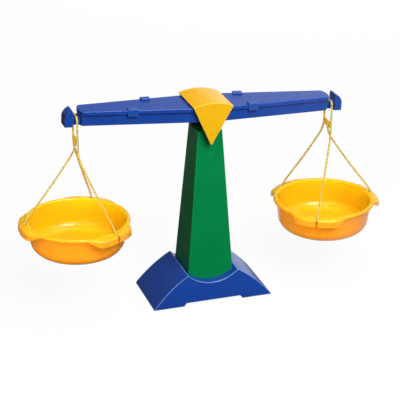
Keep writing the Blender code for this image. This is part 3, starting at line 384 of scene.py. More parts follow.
def plate(name, outline, low, high, plane):
    """A flat outline given a thickness from low to high along the axis that its plane leaves out."""
    curve = straight_curve(name, "2D", [(u, v, 0.0) for u, v in outline])
    curve.fill_mode = "BOTH"
    curve.extrude = (high - low) / 2
    curve.splines[0].use_cyclic_u = True
    obj = add_object(name, curve)
    quarter = math.pi / 2
    middle = (low + high) / 2
    if plane == "XZ":
        obj.matrix_world = Matrix.Translation((0.0, middle, 0.0)) @ Matrix.Rotation(quarter, 4, "X")
    elif plane == "YZ":
        turn = Matrix.Rotation(quarter, 4, "Z") @ Matrix.Rotation(quarter, 4, "X")
        obj.matrix_world = Matrix.Translation((middle, 0.0, 0.0)) @ turn
    else:
        obj.matrix_world = Matrix.Translation((0.0, 0.0, middle))
    solid = baked(obj)
    tidy_mesh(solid.data)
    return solid


def turned(name, profile, steps=TURN_STEPS):
    """A shape turned about Z from (radius, height) points that run down its outer side."""
    mesh = bpy.data.meshes.new(name)
    points = [(radius, 0.0, height) for radius, height in profile]
    mesh.from_pydata(points, [(i, i + 1) for i in range(len(points) - 1)], [])
    obj = add_object(name, mesh)
    screw = obj.modifiers.new("turn", "SCREW")
    screw.steps = screw.render_steps = steps
    screw.use_merge_vertices = True
    screw.merge_threshold = AXIS_MERGE_DISTANCE
    solid = baked(obj)
    tidy_mesh(solid.data)
    return solid


def rod(name, radius, low, high):
    return turned(name, [(0.0, high), (radius, high), (radius, low), (0.0, low)])


def place(obj, location, turn=None):
    matrix = Matrix.Translation(location)
    if turn is not None:
        matrix = matrix @ turn
    obj.data.transform(matrix)
    return obj


def frustum(name, low_z, high_z, low_half, high_half):
    """A four-sided block whose half width and half depth change evenly from low_z to high_z."""
    bm = bmesh.new()
    bmesh.ops.create_cube(bm, size=2.0)
    for vert in bm.verts:
        half, z = (high_half, high_z) if vert.co.z > 0 else (low_half, low_z)
        vert.co = (vert.co.x * half[0], vert.co.y * half[1], z)
    return mesh_object(name, bm)


def rods_at(places, name, radius, low, high):
    """An upright rod at each (x, y) place."""
    return [place(rod(name, radius, low, high), (x, y, 0.0)) for x, y in places]


def block(name, low, high):
    size = [(b - a) / 2 for a, b in zip(low, high)]
    obj = frustum(name, -size[2], size[2], size[:2], size[:2])
    return place(obj, [(a + b) / 2 for a, b in zip(low, high)])


def rounded(obj, width, segments=EDGE_SEGMENTS, angle=EDGE_ANGLE):
    """The solid with its edges rounded, where they turn by more than an angle."""
    bevel = obj.modifiers.new("rounded edges", "BEVEL")
    bevel.width = width
    bevel.segments = segments
    bevel.limit_method = "ANGLE"
    bevel.angle_limit = angle
    bevel.use_clamp_overlap = True
    return baked(obj)


def combine(target, tools, operation):
    """Joins tools to a solid, or cuts them from it, at once."""
    for tool in tools:
        modifier = target.modifiers.new(operation.lower(), "BOOLEAN")
        modifier.operation = operation
        modifier.object = tool
        modifier.solver = "EXACT"
        target = baked(target)
        mesh = tool.data
        bpy.data.objects.remove(tool)
        bpy.data.meshes.remove(mesh)
    return target


def smoothed(obj):
    """Shades the surface smooth up to its sharp edges, with normals that follow the large faces."""
    obj.data.shade_smooth()
    obj.data.set_sharp_from_angle(angle=SMOOTH_ANGLE)
    weigh = obj.modifiers.new("face weighted normals", "WEIGHTED_NORMAL")
    weigh.keep_sharp = True
    weigh.weight = FACE_WEIGHT
    return obj


def paint(obj, name, share_at):
    """Writes a share from 0 to 1 at each point of a piece, which its material reads by name."""
    tone = obj.data.attributes.new(name, "FLOAT", "POINT")
    for vert in obj.data.vertices:
        tone.data[vert.index].value = share_at(vert)


def paint_edge_highlights(obj):
    """Marks the points that lie on a rounded edge, among its narrow faces alone, for a painted highlight.
    """
    bm = bmesh.new()
    bm.from_mesh(obj.data)
    narrow = {
        face for face in bm.faces
        if face.calc_area() < EDGE_HIGHLIGHT_STRIP * max(edge.calc_length() for edge in face.edges)
    }
    edge_highlit = {vert.index for vert in bm.verts if narrow.issuperset(vert.link_faces)}
    bm.free()
    paint(obj, "edge_highlight", lambda vert: 1.0 if vert.index in edge_highlit else 0.0)


def show(obj, name, material, body, nodes, placing=None, edge_highlit=True):
    """Finishes a piece: moves it to its place, gives it its material and lets it ride on its body."""
    if placing is not None:
        obj.data.transform(placing)
    obj = baked(smoothed(obj), name)
    bring_out(obj)
    obj.data.materials.clear()
    obj.data.materials.append(material)
    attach(obj, body)
    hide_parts(*nodes)
    # Rounded edges are marked for the painted highlight
    if edge_highlit:
        paint_edge_highlights(obj)
    return obj


# Materials

# A noise: its features to a metre, its detail and its harshness
FLOW_NOISE = (22.0, 3.0, 0.5)
PATCH_NOISE = (70.0, 3.0, 0.5)
SCUFF_NOISE = (90.0, 6.0, 0.7)
SATIN_NOISE = (1400.0, 2.0, 0.6)
WAVE_NOISE = (34.0, 1.0, 0.5)
TURNING_NOISE = (1800.0, 3.0, 0.5)
CLOUD_NOISE = (300.0, 2.0, 0.5)

# What a value is read from, for no effect and for full effect
FLOW_RANGE = (0.3, 0.7)
EDGE_LIKENESS_RANGE = (0.99, 0.86)
PATCH_RANGE = (0.3, 0.7)
SCUFF_RANGE = (0.3, 0.75)
STEEL_RANGE = (0.0, 1.0)

# A relief: its strength and its height
SATIN_RELIEF = (0.015, 0.06 * MM)
WAVE_RELIEF = (0.02, 0.5 * MM)
TURNING_RELIEF = (0.2, 0.03 * MM)

# Reach and samples of the edge normal that finds the painted edge highlights, and the least share of that
# highlight across its uneven patches
EDGE_REACH = 1.2 * MM
EDGE_SAMPLES = 8
PATCH_LEAST_SHARE = 0.6
SCUFF_STRETCH = (3.0, 1.0, 6.0)
SCUFF_POLISH = 0.02
SCUFF_ROUGHNESS = 0.04
PLASTIC_IOR = 1.49
PLASTIC_GLOSS = 0.4
GLOW_REACH = 4.0 * MM
GLOW_COLOUR_REACH = (1.0, 0.45, 0.08)
STEEL_DARK = (0.42, 0.43, 0.44)
STEEL_LIGHT = (0.66, 0.67, 0.68)
STEEL_ROUGHNESS = 0.32


class Nodes:
    """A short way to build the nodes of a material or of the world."""

    def __init__(self, owner):
        owner.use_nodes = True
        self.tree = owner.node_tree

    def feed(self, node, inputs):
        """Gives a node's inputs their values, or links them to other nodes' outputs."""
        for key, value in inputs.items():
            if isinstance(value, bpy.types.NodeSocket):
                self.tree.links.new(value, node.inputs[key])
            else:
                node.inputs[key].default_value = value

    def add(self, kind, inputs=None, **settings):
        node = self.tree.nodes.new(kind)
        for key, value in settings.items():
            setattr(node, key, value)
        self.feed(node, inputs or {})
        return node

    def noise(self, place_in, scale, detail, harshness):
        inputs = {"Vector": place_in, "Scale": scale, "Detail": detail, "Roughness": harshness}
        return self.add("ShaderNodeTexNoise", inputs).outputs["Fac"]

    def attribute(self, name):
        return self.add("ShaderNodeAttribute", attribute_name=name).outputs["Fac"]

    def spread(self, value, read, written, **settings):
        """Carries a value from one range over to another, and no further."""
        inputs = {"Value": value, "From Min": read[0], "From Max": read[1]}
        inputs.update({"To Min": written[0], "To Max": written[1]})
        return self.add("ShaderNodeMapRange", inputs, **settings).outputs["Result"]

    def calculate(self, operation, *values, clamp=False):
        node = self.add("ShaderNodeMath", dict(enumerate(values)), operation=operation, use_clamp=clamp)
        return node.outputs["Value"]

    def dot(self, one, other):
        node = self.add("ShaderNodeVectorMath", {0: one, 1: other}, operation="DOT_PRODUCT")
        return node.outputs["Value"]

    def two_tones(self, value, read, first, second):
        """A colour that runs from the first to the second as the value crosses its range."""
        node = self.add("ShaderNodeValToRGB", {"Fac": value})
        for element, position, colour in zip(node.color_ramp.elements, read, (first, second)):
            element.position = position
            element.color = (*colour, 1.0)
        return node.outputs["Color"]

    def blend(self, share, first, second):
        inputs = {"Factor": share, "A": first, "B": second}
        return self.add("ShaderNodeMix", inputs, data_type="RGBA").outputs["Result"]

    def bump(self, height, strength, distance, **normal):
        inputs = {"Height": height, "Strength": strength, "Distance": distance, **normal}
        return self.add("ShaderNodeBump", inputs).outputs["Normal"]

    def end_with_mix(self, output, share, first, second):
        mix = self.add("ShaderNodeMixShader", {0: share, 1: first.outputs[0], 2: second.outputs[0]})
        self.feed(self.tree.nodes[output], {"Surface": mix.outputs[0]})


def moulded_plastic(
    name, colour, shade, edge_highlight_colour, edge_highlight_share, roughness, gloss=PLASTIC_GLOSS, glow=0.0, outer=None
):
    """Injection-moulded plastic: slight flow shading, satin grain, fine scuffs, and paler edges that are
    painted highlights.

    The outer colour is painted light and shade, shown where a piece's painted tone is 1; glow is how far it
    is translucent.
    """
    material = bpy.data.materials.new(name)
    made = Nodes(material)
    place_in = made.add("ShaderNodeTexCoord").outputs["Object"]
    flow = made.noise(place_in, *FLOW_NOISE)
    body_colour = made.two_tones(flow, FLOW_RANGE, shade, colour)
    if outer:
        body_colour = made.blend(made.attribute("painted_light_tone"), body_colour, (*outer, 1.0))

    # Painted highlight: rounded edges, found by the bevel normal and by the marked points, take the paler
    # edge colour in uneven patches
    soft_normal = made.add("ShaderNodeBevel", {"Radius": EDGE_REACH}, samples=EDGE_SAMPLES)
    true_normal = made.add("ShaderNodeNewGeometry")
    likeness = made.dot(soft_normal.outputs["Normal"], true_normal.outputs["Normal"])
    edge = made.spread(likeness, EDGE_LIKENESS_RANGE, (0.0, 1.0))
    band = made.calculate("ADD", edge, made.attribute("edge_highlight"), clamp=True)
    patch = made.noise(place_in, *PATCH_NOISE)
    uneven = made.spread(patch, PATCH_RANGE, (PATCH_LEAST_SHARE * edge_highlight_share, edge_highlight_share))
    highlight_mask = made.calculate("MULTIPLY", band, uneven)

    scuff_place = made.add("ShaderNodeMapping", {"Vector": place_in, "Scale": SCUFF_STRETCH})
    scuffs = made.noise(scuff_place.outputs["Vector"], *SCUFF_NOISE)
    rough = made.spread(scuffs, SCUFF_RANGE, (roughness - SCUFF_POLISH, roughness + SCUFF_ROUGHNESS))

    satin = made.bump(made.noise(place_in, *SATIN_NOISE), *SATIN_RELIEF)
    waves = made.bump(made.noise(place_in, *WAVE_NOISE), *WAVE_RELIEF, Normal=satin)

    shader = made.tree.nodes["Principled BSDF"]
    made.feed(shader, {
        "Base Color": made.blend(highlight_mask, body_colour, (*edge_highlight_colour, 1.0)),
        "Roughness": rough,
        "Normal": waves,
        "IOR": PLASTIC_IOR,
        "Specular IOR Level": gloss,
    })
    if glow:
        made.feed(shader, {
            "Subsurface Weight": glow,
            "Subsurface Radius": GLOW_COLOUR_REACH,
            "Subsurface Scale": GLOW_REACH,
        })
    return material


def turned_steel(name):
    """Zinc-plated steel with fine turning marks."""
    material = bpy.data.materials.new(name)
    made = Nodes(material)
    place_in = made.add("ShaderNodeTexCoord").outputs["Object"]
    cloud = made.noise(place_in, *CLOUD_NOISE)
    marks = made.noise(place_in, *TURNING_NOISE)
    made.feed(made.tree.nodes["Principled BSDF"], {
        "Base Color": made.two_tones(cloud, STEEL_RANGE, STEEL_DARK, STEEL_LIGHT),
        "Normal": made.bump(marks, *TURNING_RELIEF),
        "Metallic": 1.0,
        "Roughness": STEEL_ROUGHNESS,
    })
    return material


BLUE = (0.008, 0.060, 0.360)
BLUE_SHADE = (0.007, 0.052, 0.320)
RIDER_BLUE = (0.010, 0.070, 0.385)
RIDER_BLUE_SHADE = (0.008, 0.062, 0.345)
GREEN = (0.000, 0.238, 0.064)
GREEN_SHADE = (0.000, 0.205, 0.054)
YELLOW = (0.940, 0.500, 0.004)
YELLOW_SHADE = (0.930, 0.470, 0.003)
PAN_YELLOW = (0.950, 0.505, 0.005)
PAN_YELLOW_SHADE = (0.940, 0.480, 0.004)
# Painted shade: the pans' outer side is a deeper orange than their inside
PAN_OUTSIDE_PAINTED_SHADE = (0.970, 0.325, 0.010)
AMBER = (0.490, 0.362, 0.076)
AMBER_SHADE = (0.470, 0.348, 0.070)
# Painted light: the hanger's web is painted brighter than its strands, as if lit through
WEB_PAINTED_LIGHT = (0.950, 0.470, 0.040)

# The third colour of each plastic is its painted edge highlight, and its share says how strongly it shows
blue = moulded_plastic(
    "blue_plastic", BLUE, BLUE_SHADE, (0.20, 0.32, 0.78), edge_highlight_share=0.8, roughness=0.25
)
beam_blue = moulded_plastic(
    "beam_blue_plastic", BLUE, BLUE_SHADE, (0.04, 0.12, 0.50), edge_highlight_share=0.5, roughness=0.25
)
rider_blue = moulded_plastic(
    "rider_blue_plastic", RIDER_BLUE, RIDER_BLUE_SHADE, (0.20, 0.30, 0.75), edge_highlight_share=0.5, roughness=0.20
)
green = moulded_plastic(
    "green_plastic", GREEN, GREEN_SHADE, (0.03, 0.42, 0.17), edge_highlight_share=0.6, roughness=0.30, gloss=0.15
)
yellow = moulded_plastic(
    "yellow_plastic", YELLOW, YELLOW_SHADE, (1.00, 0.70, 0.12), edge_highlight_share=0.9, roughness=0.26, glow=0.1
)
pan_yellow = moulded_plastic(
    "pan_plastic", PAN_YELLOW, PAN_YELLOW_SHADE, (0.97, 0.58, 0.05), edge_highlight_share=0.3, roughness=0.24,
    glow=0.8, outer=PAN_OUTSIDE_PAINTED_SHADE,
)
amber = moulded_plastic(
    "hanger_plastic", AMBER, AMBER_SHADE, (0.52, 0.38, 0.09), edge_highlight_share=0.2, roughness=0.42,
    gloss=0.12, glow=0.8, outer=WEB_PAINTED_LIGHT,
)
steel = turned_steel("plated_steel")


# Stand


BASE_DIP_RADIUS = (BASE_SHOULDER_X**2 + BASE_DIP**2) / (2 * BASE_DIP)
BASE_DIP_CENTRE = (0.0, BASE_HEIGHT - BASE_DIP + BASE_DIP_RADIUS)
BASE_DRAFT = (BASE_HALF_DEPTH - BASE_TOP_HALF_DEPTH) / BASE_HEIGHT


def dip_height(x):
    return BASE_DIP_CENTRE[1] - math.sqrt(BASE_DIP_RADIUS**2 - x**2)


def base_outline(inset, floor_z):
    """The base seen from the front, every curve moved inwards by inset."""
    shoulder = (BASE_SHOULDER_X, BASE_HEIGHT)
    end_centre, end_radius = bulged_circle((BASE_HALF_LENGTH, 0.0), shoulder, -BASE_END_BULGE)
    end_radius, dip_radius = abs(end_radius) - inset, BASE_DIP_RADIUS + inset
    corner = circles_meet(end_centre, end_radius, BASE_DIP_CENTRE, dip_radius, shoulder)
    dip = arc(BASE_DIP_CENTRE, dip_radius, -math.pi / 2, angle_from(BASE_DIP_CENTRE, corner))
    foot_angle = math.asin((floor_z - end_centre[1]) / end_radius)
    end = arc(end_centre, end_radius, angle_from(end_centre, corner), foot_angle)
    return mirrored(dip + end[1:])


def drafted(obj, half_depth):
    """Gives a block of unit half depth its real half depth, which narrows upwards."""
    for vert in obj.data.vertices:
        vert.co.y *= half_depth - BASE_DRAFT * vert.co.z
    return obj


def make_base():
    base = drafted(plate("base_shell", base_outline(0.0, 0.0), -1.0, 1.0, "XZ"), BASE_HALF_DEPTH)
    base = rounded(base, BASE_EDGE_ROUND, WIDE_EDGE_SEGMENTS)
    hollow = plate("base_hollow", base_outline(BASE_WALL, -OVERRUN), -1.0, 1.0, "XZ")
    drafted(hollow, BASE_HALF_DEPTH - BASE_WALL)
    notch_foot = FOOT_NOTCH_HALF_LENGTH + FOOT_NOTCH_SLOPE * OVERRUN / FOOT_NOTCH_HEIGHT
    notch = plate(
        "foot_notch",
        mirrored([
            (0.0, -OVERRUN),
            (notch_foot, -OVERRUN),
            (FOOT_NOTCH_HALF_LENGTH - FOOT_NOTCH_SLOPE, FOOT_NOTCH_HEIGHT),
            (0.0, FOOT_NOTCH_HEIGHT),
        ]),
        -BASE_HALF_DEPTH - OVERRUN,
        BASE_HALF_DEPTH + OVERRUN,
        "XZ",
    )
    base = combine(base, [hollow, notch], "DIFFERENCE")
    places = column_screw_places()
    boss_top = dip_height(abs(places[0][0]) - BOSS_RADIUS) - BASE_WALL / 2
    bosses = rods_at(places, "base_boss", BOSS_RADIUS, BASE_BOSS_FLOOR_Z, boss_top)
    hole_low, hole_high = BASE_BOSS_FLOOR_Z - OVERRUN, BASE_HEIGHT + OVERRUN
    holes = rods_at(places, "base_hole", SCREW_HOLE_RADIUS, hole_low, hole_high)
    base = combine(base, bosses, "UNION")
    base = combine(base, holes, "DIFFERENCE")
    show(base, "base_moulding", blue, "stand", ["base"])


COLUMN_FOOT_Z = dip_height(COLUMN_FOOT_HALF_WIDTH)
COLUMN_SIDE_SLOPE = (COLUMN_FOOT_HALF_WIDTH - COLUMN_TOP_HALF_WIDTH) / (COLUMN_HEIGHT - COLUMN_FOOT_Z)
COLUMN_FACE_SLOPE = (COLUMN_FOOT_HALF_DEPTH - COLUMN_TOP_HALF_DEPTH) / (COLUMN_HEIGHT - COLUMN_FOOT_Z)


def column_half(z, inset=0.0):
    """Half width and half depth of the column at a height."""
    below = COLUMN_HEIGHT - z
    return (
        COLUMN_TOP_HALF_WIDTH + COLUMN_SIDE_SLOPE * below - inset,
        COLUMN_TOP_HALF_DEPTH + COLUMN_FACE_SLOPE * below - inset,
    )


def column_block(name, low_z, high_z, inset=0.0):
    return frustum(name, low_z, high_z, column_half(low_z, inset), column_half(high_z, inset))


def column_screw_places():
    """Centres of the four screws, so that the bosses' tops stay inside the column's tapering walls."""
    half_width, half_depth = column_half(COLUMN_BOSS_TOP_Z, BOSS_RADIUS + BOSS_SKIN)
    return [(sx * half_width, sy * half_depth) for sy in (-1, 1) for sx in (-1, 1)]


def bearing_outline(foot_half_width, foot_z, head_z):
    """A post seen from the front: a flat foot, straight sides and a round head."""
    rise = head_z - foot_z
    reach = math.hypot(foot_half_width, rise)
    tangent = math.acos(BEARING_HEAD_RADIUS / reach) - math.atan2(rise, foot_half_width)
    head = arc((0.0, head_z), BEARING_HEAD_RADIUS, tangent, math.pi / 2, ARC_STEPS // 2)
    return mirrored([(0.0, foot_z), (foot_half_width, foot_z)] + head)


def axle_bore(reach, height):
    bore = rod("axle_bore", AXLE_RADIUS + GAP, -reach, reach)
    return place(bore, (0.0, 0.0, height), Matrix.Rotation(math.pi / 2, 4, "X"))


def below_dip_outline():
    """All that lies under the base's dipped top, and a gap more."""
    reach = math.asin(BASE_SHOULDER_X / BASE_DIP_RADIUS)
    dip = arc(BASE_DIP_CENTRE, BASE_DIP_RADIUS - GAP, -math.pi / 2, -math.pi / 2 + reach)
    return mirrored([(0.0, -OVERRUN), (dip[-1][0], -OVERRUN)] + dip[::-1])


def make_index_mark():
    """A raised arrowhead on the sloping front face that points up at the saddle's tip."""
    arrow = mirrored([(0.0, -INDEX_HEIGHT), (INDEX_HALF_WIDTH, -INDEX_HEIGHT), (0.0, 0.0)])
    mark = plate("index_mark", arrow, -INDEX_RELIEF, ROOT, "XZ")
    lean = Matrix.Rotation(-math.atan(COLUMN_FACE_SLOPE), 4, "X")
    return place(mark, (0.0, -column_half(INDEX_TOP_Z)[1], INDEX_TOP_Z), lean)


def make_column():
    low_z = dip_height(0.0) - OVERRUN
    column = column_block("column_shell", low_z, COLUMN_HEIGHT)
    column = rounded(column, COLUMN_EDGE_ROUND, WIDE_EDGE_SEGMENTS)
    hollow = column_block("column_hollow", low_z - OVERRUN, COLUMN_HEIGHT - COLUMN_WALL, COLUMN_WALL)
    column = combine(column, [hollow], "DIFFERENCE")
    places = column_screw_places()
    bosses = rods_at(places, "column_boss", BOSS_RADIUS, low_z + OVERRUN, COLUMN_BOSS_TOP_Z)
    ear_outline = bearing_outline(EAR_FOOT_HALF_WIDTH, COLUMN_HEIGHT - ROOT, PIVOT_Z)
    ears = [
        plate("column_ear", ear_outline, low_y, high_y, "XZ")
        for low_y, high_y in front_and_back(EAR_INNER_Y, EAR_OUTER_Y)
    ]
    column = combine(column, bosses + ears + [make_index_mark()], "UNION")
    reach = column_half(low_z)[1] + OVERRUN
    seat = plate("column_seat", below_dip_outline(), -reach, reach, "XZ")
    pilot_top = BASE_BOSS_FLOOR_Z + COLUMN_SCREW_LENGTH + GAP
    pilots = rods_at(places, "column_pilot", SCREW_HOLE_RADIUS, low_z, pilot_top)
    column = combine(column, [seat, axle_bore(reach, PIVOT_Z)] + pilots, "DIFFERENCE")
    show(column, "column_moulding", green, "stand", ["column"])


# Beam


BEAM_PLACE = Matrix.Translation((0.0, 0.0, PIVOT_Z)) @ Matrix.Rotation(BEAM_REST_TILT, 4, "Y")
COVER_CORNER_X = COVER_HALF_LENGTH - COVER_END_BULGE
EDGE_TAPER = math.atan((COVER_CENTRE_HALF_DEPTH - COVER_END_HALF_DEPTH) / COVER_CORNER_X)


def rim_half_depth(x):
    return COVER_CENTRE_HALF_DEPTH - math.tan(EDGE_TAPER) * abs(x)


def beam_plan(inset, end_inset=None):
    """The cover's plan, moved inwards: two tapering arms with bowed ends."""
    corner_x = COVER_CORNER_X - (inset if end_inset is None else end_inset)
    corner_y = rim_half_depth(corner_x) - inset
    centre, radius = bulged_circle((corner_x, corner_y), (corner_x, -corner_y), COVER_END_BULGE)
    bow = arc_between(centre, radius, (corner_x, -corner_y), (corner_x, corner_y))
    middle_y = COVER_CENTRE_HALF_DEPTH - inset
    return mirrored([(0.0, -middle_y)] + bow + [(0.0, middle_y)])


def ear_slots(z_low, z_high):
    """Openings that let the ears through and stop the beam's tilt."""
    drop = -z_low
    ear_half_width = BEARING_HEAD_RADIUS + (EAR_FOOT_HALF_WIDTH - BEARING_HEAD_RADIUS) * drop / PIVOT_RISE
    half_x = ear_half_width + drop * math.tan(BEAM_TILT_LIMIT) + STOP_PLAY
    return [
        block("ear_slot", (-half_x, low_y, z_low - OVERRUN), (half_x, high_y, z_high + OVERRUN))
        for low_y, high_y in front_and_back(EAR_INNER_Y - STOP_PLAY, EAR_OUTER_Y + STOP_PLAY)
    ]


def beam_end(side):
    """The neck with its round-bottomed seat for a hanger's loop, and the nib beyond it."""
    inner_x = COVER_HALF_LENGTH - BODY_SETBACK - TONGUE_ROOT
    belly = BODY_BOTTOM + ROOT
    seat_top = SEAT_Z + SEAT_RADIUS
    shelf = COVER_RIM_BOTTOM - GAP
    shelf_angle = math.pi + math.asin((seat_top - shelf) / SEAT_RADIUS)
    seat = arc((ARM, seat_top), SEAT_RADIUS, shelf_angle, SEAT_END_ANGLE)
    neck_end_x = ARM + SEAT_RADIUS + 2 * ROOT
    neck_outline = [(inner_x, belly), (inner_x, shelf)] + seat
    neck_outline += [(neck_end_x, seat[-1][1]), (neck_end_x, belly)]
    neck_outline = [(side * u, v) for u, v in neck_outline]
    neck = plate("neck", neck_outline, -NECK_HALF_DEPTH, NECK_HALF_DEPTH, "XZ")
    neck = rounded(neck, NIB_EDGE_ROUND / 2, angle=BEAM_END_EDGE_ANGLE)
    low = BODY_BOTTOM - NIB_BELOW_BODY
    top = COVER_TOP + NIB_RISE
    crest, brow = (NIB_INNER_X + NIB_LAND, top), (NIB_OUTER_X, top - NIB_SHOULDER_DROP)
    nib_outline = [(ARM + SEAT_RADIUS, low), (ARM + SEAT_RADIUS, seat_top), (NIB_INNER_X, top)]
    nib_outline += arc_between(*bulged_circle(crest, brow, NIB_BULGE), crest, brow)
    nib_outline.append((NIB_OUTER_X, low))
    nib_outline = [(side * u, v) for u, v in nib_outline]
    nib = plate("nib", nib_outline, -NIB_HALF_DEPTH, NIB_HALF_DEPTH, "XZ")
    return [neck, rounded(nib, NIB_EDGE_ROUND, WIDE_EDGE_SEGMENTS, BEAM_END_EDGE_ANGLE)]


def make_beam_body():
    body = plate("beam_trough", beam_plan(BODY_SETBACK, BODY_END_SETBACK), BODY_BOTTOM, BODY_TOP, "XY")
    body = rounded(body, BODY_EDGE_ROUND, WIDE_EDGE_SEGMENTS)
    inner_plan = beam_plan(BODY_SETBACK + BODY_WALL)
    inside = plate("trough_room", inner_plan, FLOOR_TOP, BODY_TOP + OVERRUN, "XY")
    body = combine(body, [inside], "DIFFERENCE")
    sink_radius = SCREW_HEAD_RADIUS + GAP
    boss_foot, below = FLOOR_TOP - ROOT, BODY_BOTTOM - OVERRUN
    bosses = rods_at(COVER_SCREW_PLACES, "boss", sink_radius + BODY_WALL, boss_foot, SCREW_SEAT_TOP)
    bores = []
    for at in COVER_SCREW_PLACES:
        bores += rods_at([at], "sink", sink_radius, below, SINK_TOP)
        bores += rods_at([at], "hole", SCREW_HOLE_RADIUS, below, SCREW_SEAT_TOP + OVERRUN)
    body = combine(body, bosses + beam_end(-1) + beam_end(1), "UNION")
    body = combine(body, bores + ear_slots(BODY_BOTTOM, FLOOR_TOP), "DIFFERENCE")
    show(body, "beam_trough_moulding", beam_blue, "beam", ["beam_body"], BEAM_PLACE)


def make_beam_cover():
    cover = plate("cover_shell", beam_plan(0.0), COVER_RIM_BOTTOM, COVER_TOP, "XY")
    cover = rounded(cover, COVER_EDGE_ROUND, WIDE_EDGE_SEGMENTS)
    ceiling = COVER_TOP - COVER_WALL
    inside = plate("cover_room", beam_plan(COVER_WALL), COVER_RIM_BOTTOM - OVERRUN, ceiling, "XY")
    cover = combine(cover, [inside], "DIFFERENCE")
    boss_foot = SCREW_SEAT_TOP + GAP
    bosses = rods_at(COVER_SCREW_PLACES, "boss", COVER_BOSS_RADIUS, boss_foot, ceiling + ROOT)
    pilot_foot, pilot_top = boss_foot - OVERRUN, SINK_TOP + COVER_SCREW_LENGTH + GAP
    cuts = rods_at(COVER_SCREW_PLACES, "pilot", SCREW_HOLE_RADIUS, pilot_foot, pilot_top)
    cheek_outline = bearing_outline(CHEEK_FOOT_HALF_WIDTH, COVER_TOP - ROOT, 0.0)
    cheek_outer_y = CHEEK_INNER_Y + CHEEK_THICKNESS
    for low_y, high_y in front_and_back(CHEEK_INNER_Y, cheek_outer_y):
        bosses.append(plate("cheek", cheek_outline, low_y, high_y, "XZ"))
    cover = combine(cover, bosses, "UNION")
    cuts.append(axle_bore(COVER_CENTRE_HALF_DEPTH, 0.0))
    half_x = CLIP_RADIUS + GAP
    for low_y, high_y in front_and_back(cheek_outer_y, cheek_outer_y + CLIP_THICKNESS + 2 * GAP):
        low, high = (-half_x, low_y, ceiling - OVERRUN), (half_x, high_y, COVER_TOP + OVERRUN)
        cuts.append(block("clip_slot", low, high))
    cover = combine(cover, cuts + ear_slots(ceiling, COVER_TOP), "DIFFERENCE")
    show(cover, "beam_cover_moulding", beam_blue, "beam", ["beam_cover"], BEAM_PLACE)


def crown_arc(drop, spread):
    """The saddle's arched top from its corner to the middle, lowered by drop."""
    half = SADDLE_HALF_WIDTH + spread
    corner = (half, SADDLE_CORNER_RISE)
    rise = SADDLE_CROWN_RISE - SADDLE_CORNER_RISE
    centre, radius = bulged_circle((-half, SADDLE_CORNER_RISE), corner, rise)
    radius = abs(radius) - drop
    start = math.acos(min(1.0, half / radius))
    return arc(centre, radius, start, math.pi / 2)


def make_saddle():
    crown = crown_arc(0.0, 0.0)
    tip_centre = (0.0, POINTER_TIP_RADIUS - POINTER_TIP_DROP)
    corner = crown[0]
    to_corner = math.hypot(corner[0], corner[1] - tip_centre[1])
    lean = angle_from(tip_centre, corner) - math.acos(POINTER_TIP_RADIUS / to_corner)
    tip = arc(tip_centre, POINTER_TIP_RADIUS, -math.pi / 2, lean, ARC_STEPS // 3)
    outline = mirrored(tip + crown)
    saddle = plate("saddle_shell", outline, -SADDLE_HALF_DEPTH, SADDLE_HALF_DEPTH, "XZ")
    saddle = rounded(saddle, SADDLE_EDGE_ROUND, angle=SADDLE_EDGE_ANGLE)
    inner_y = SADDLE_HALF_DEPTH - SADDLE_PLATE
    ceiling = crown_arc(SADDLE_ROOF, OVERRUN)
    below = -POINTER_TIP_DROP - OVERRUN
    room = mirrored([(0.0, below), (ceiling[0][0], below)] + ceiling)
    saddle = combine(saddle, [plate("saddle_room", room, -inner_y, inner_y, "XZ")], "DIFFERENCE")
    catch_top = BODY_BOTTOM - GAP
    catch_tip_y = COVER_CENTRE_HALF_DEPTH - BODY_SETBACK - CATCH_REACH
    catches = []
    for low_y, high_y in front_and_back(catch_tip_y, inner_y + ROOT):
        low = (-CATCH_HALF_WIDTH, low_y, catch_top - CATCH_HEIGHT)
        catches.append(block("catch", low, (CATCH_HALF_WIDTH, high_y, catch_top)))
    saddle = combine(saddle, catches, "UNION")
    show(saddle, "saddle_moulding", yellow, "beam", ["saddle"], BEAM_PLACE)


def make_rider(name, x, side):
    """A clip that wraps the cover's rim; its profile is drawn with the rim's top edge at (0, 0)."""
    outer = GAP + RIDER_OUTER_WALL
    foot = -COVER_RIM - GAP
    profile = [
        (-outer, foot - RIDER_LOWER_WALL),
        (RIDER_LOWER_LIP, foot - RIDER_LOWER_WALL),
        (RIDER_LOWER_LIP, foot),
        (-GAP, foot),
        (-GAP, GAP),
        (RIDER_TOP_LIP, GAP),
        (RIDER_TOP_LIP, GAP + RIDER_TOP_WALL),
        (-outer, GAP + RIDER_TOP_WALL),
    ]
    rider = plate(name + "_shell", profile, -RIDER_LENGTH / 2, RIDER_LENGTH / 2, "YZ")
    rider = rounded(rider, RIDER_EDGE_ROUND, angle=RIDER_EDGE_ANGLE)
    heading = math.copysign(EDGE_TAPER, x) * -side + (math.pi if side > 0 else 0.0)
    rim_corner = (x, side * rim_half_depth(x), COVER_TOP)
    at = Matrix.Translation(rim_corner) @ Matrix.Rotation(heading, 4, "Z")
    show(rider, name + "_clip", rider_blue, name, [name], BEAM_PLACE @ at)


# Hangers and pans, drawn about the point where the loop hangs on the neck


def smooth_path(points):
    """Points on a Catmull-Rom curve through the given ones."""
    points = [Vector(p) for p in points]
    padded = [2 * points[0] - points[1]] + points + [2 * points[-1] - points[-2]]
    path = []
    for a, b, c, d in zip(padded, padded[1:], padded[2:], padded[3:]):
        linear = c - a
        square = 2 * a - 5 * b + 4 * c - d
        cube = 3 * b - a - 3 * c + d
        for i in range(LEG_STEPS):
            t = i / LEG_STEPS
            path.append((2 * b + linear * t + square * t**2 + cube * t**3) / 2)
    return path + [points[-1]]


def strand(name, points, radius):
    curve = straight_curve(name, "3D", points)
    curve.bevel_depth = radius
    curve.bevel_resolution = STRAND_RESOLUTION
    curve.use_fill_caps = True
    solid = baked(add_object(name, curve))
    tidy_mesh(solid.data, flat=False)
    return solid


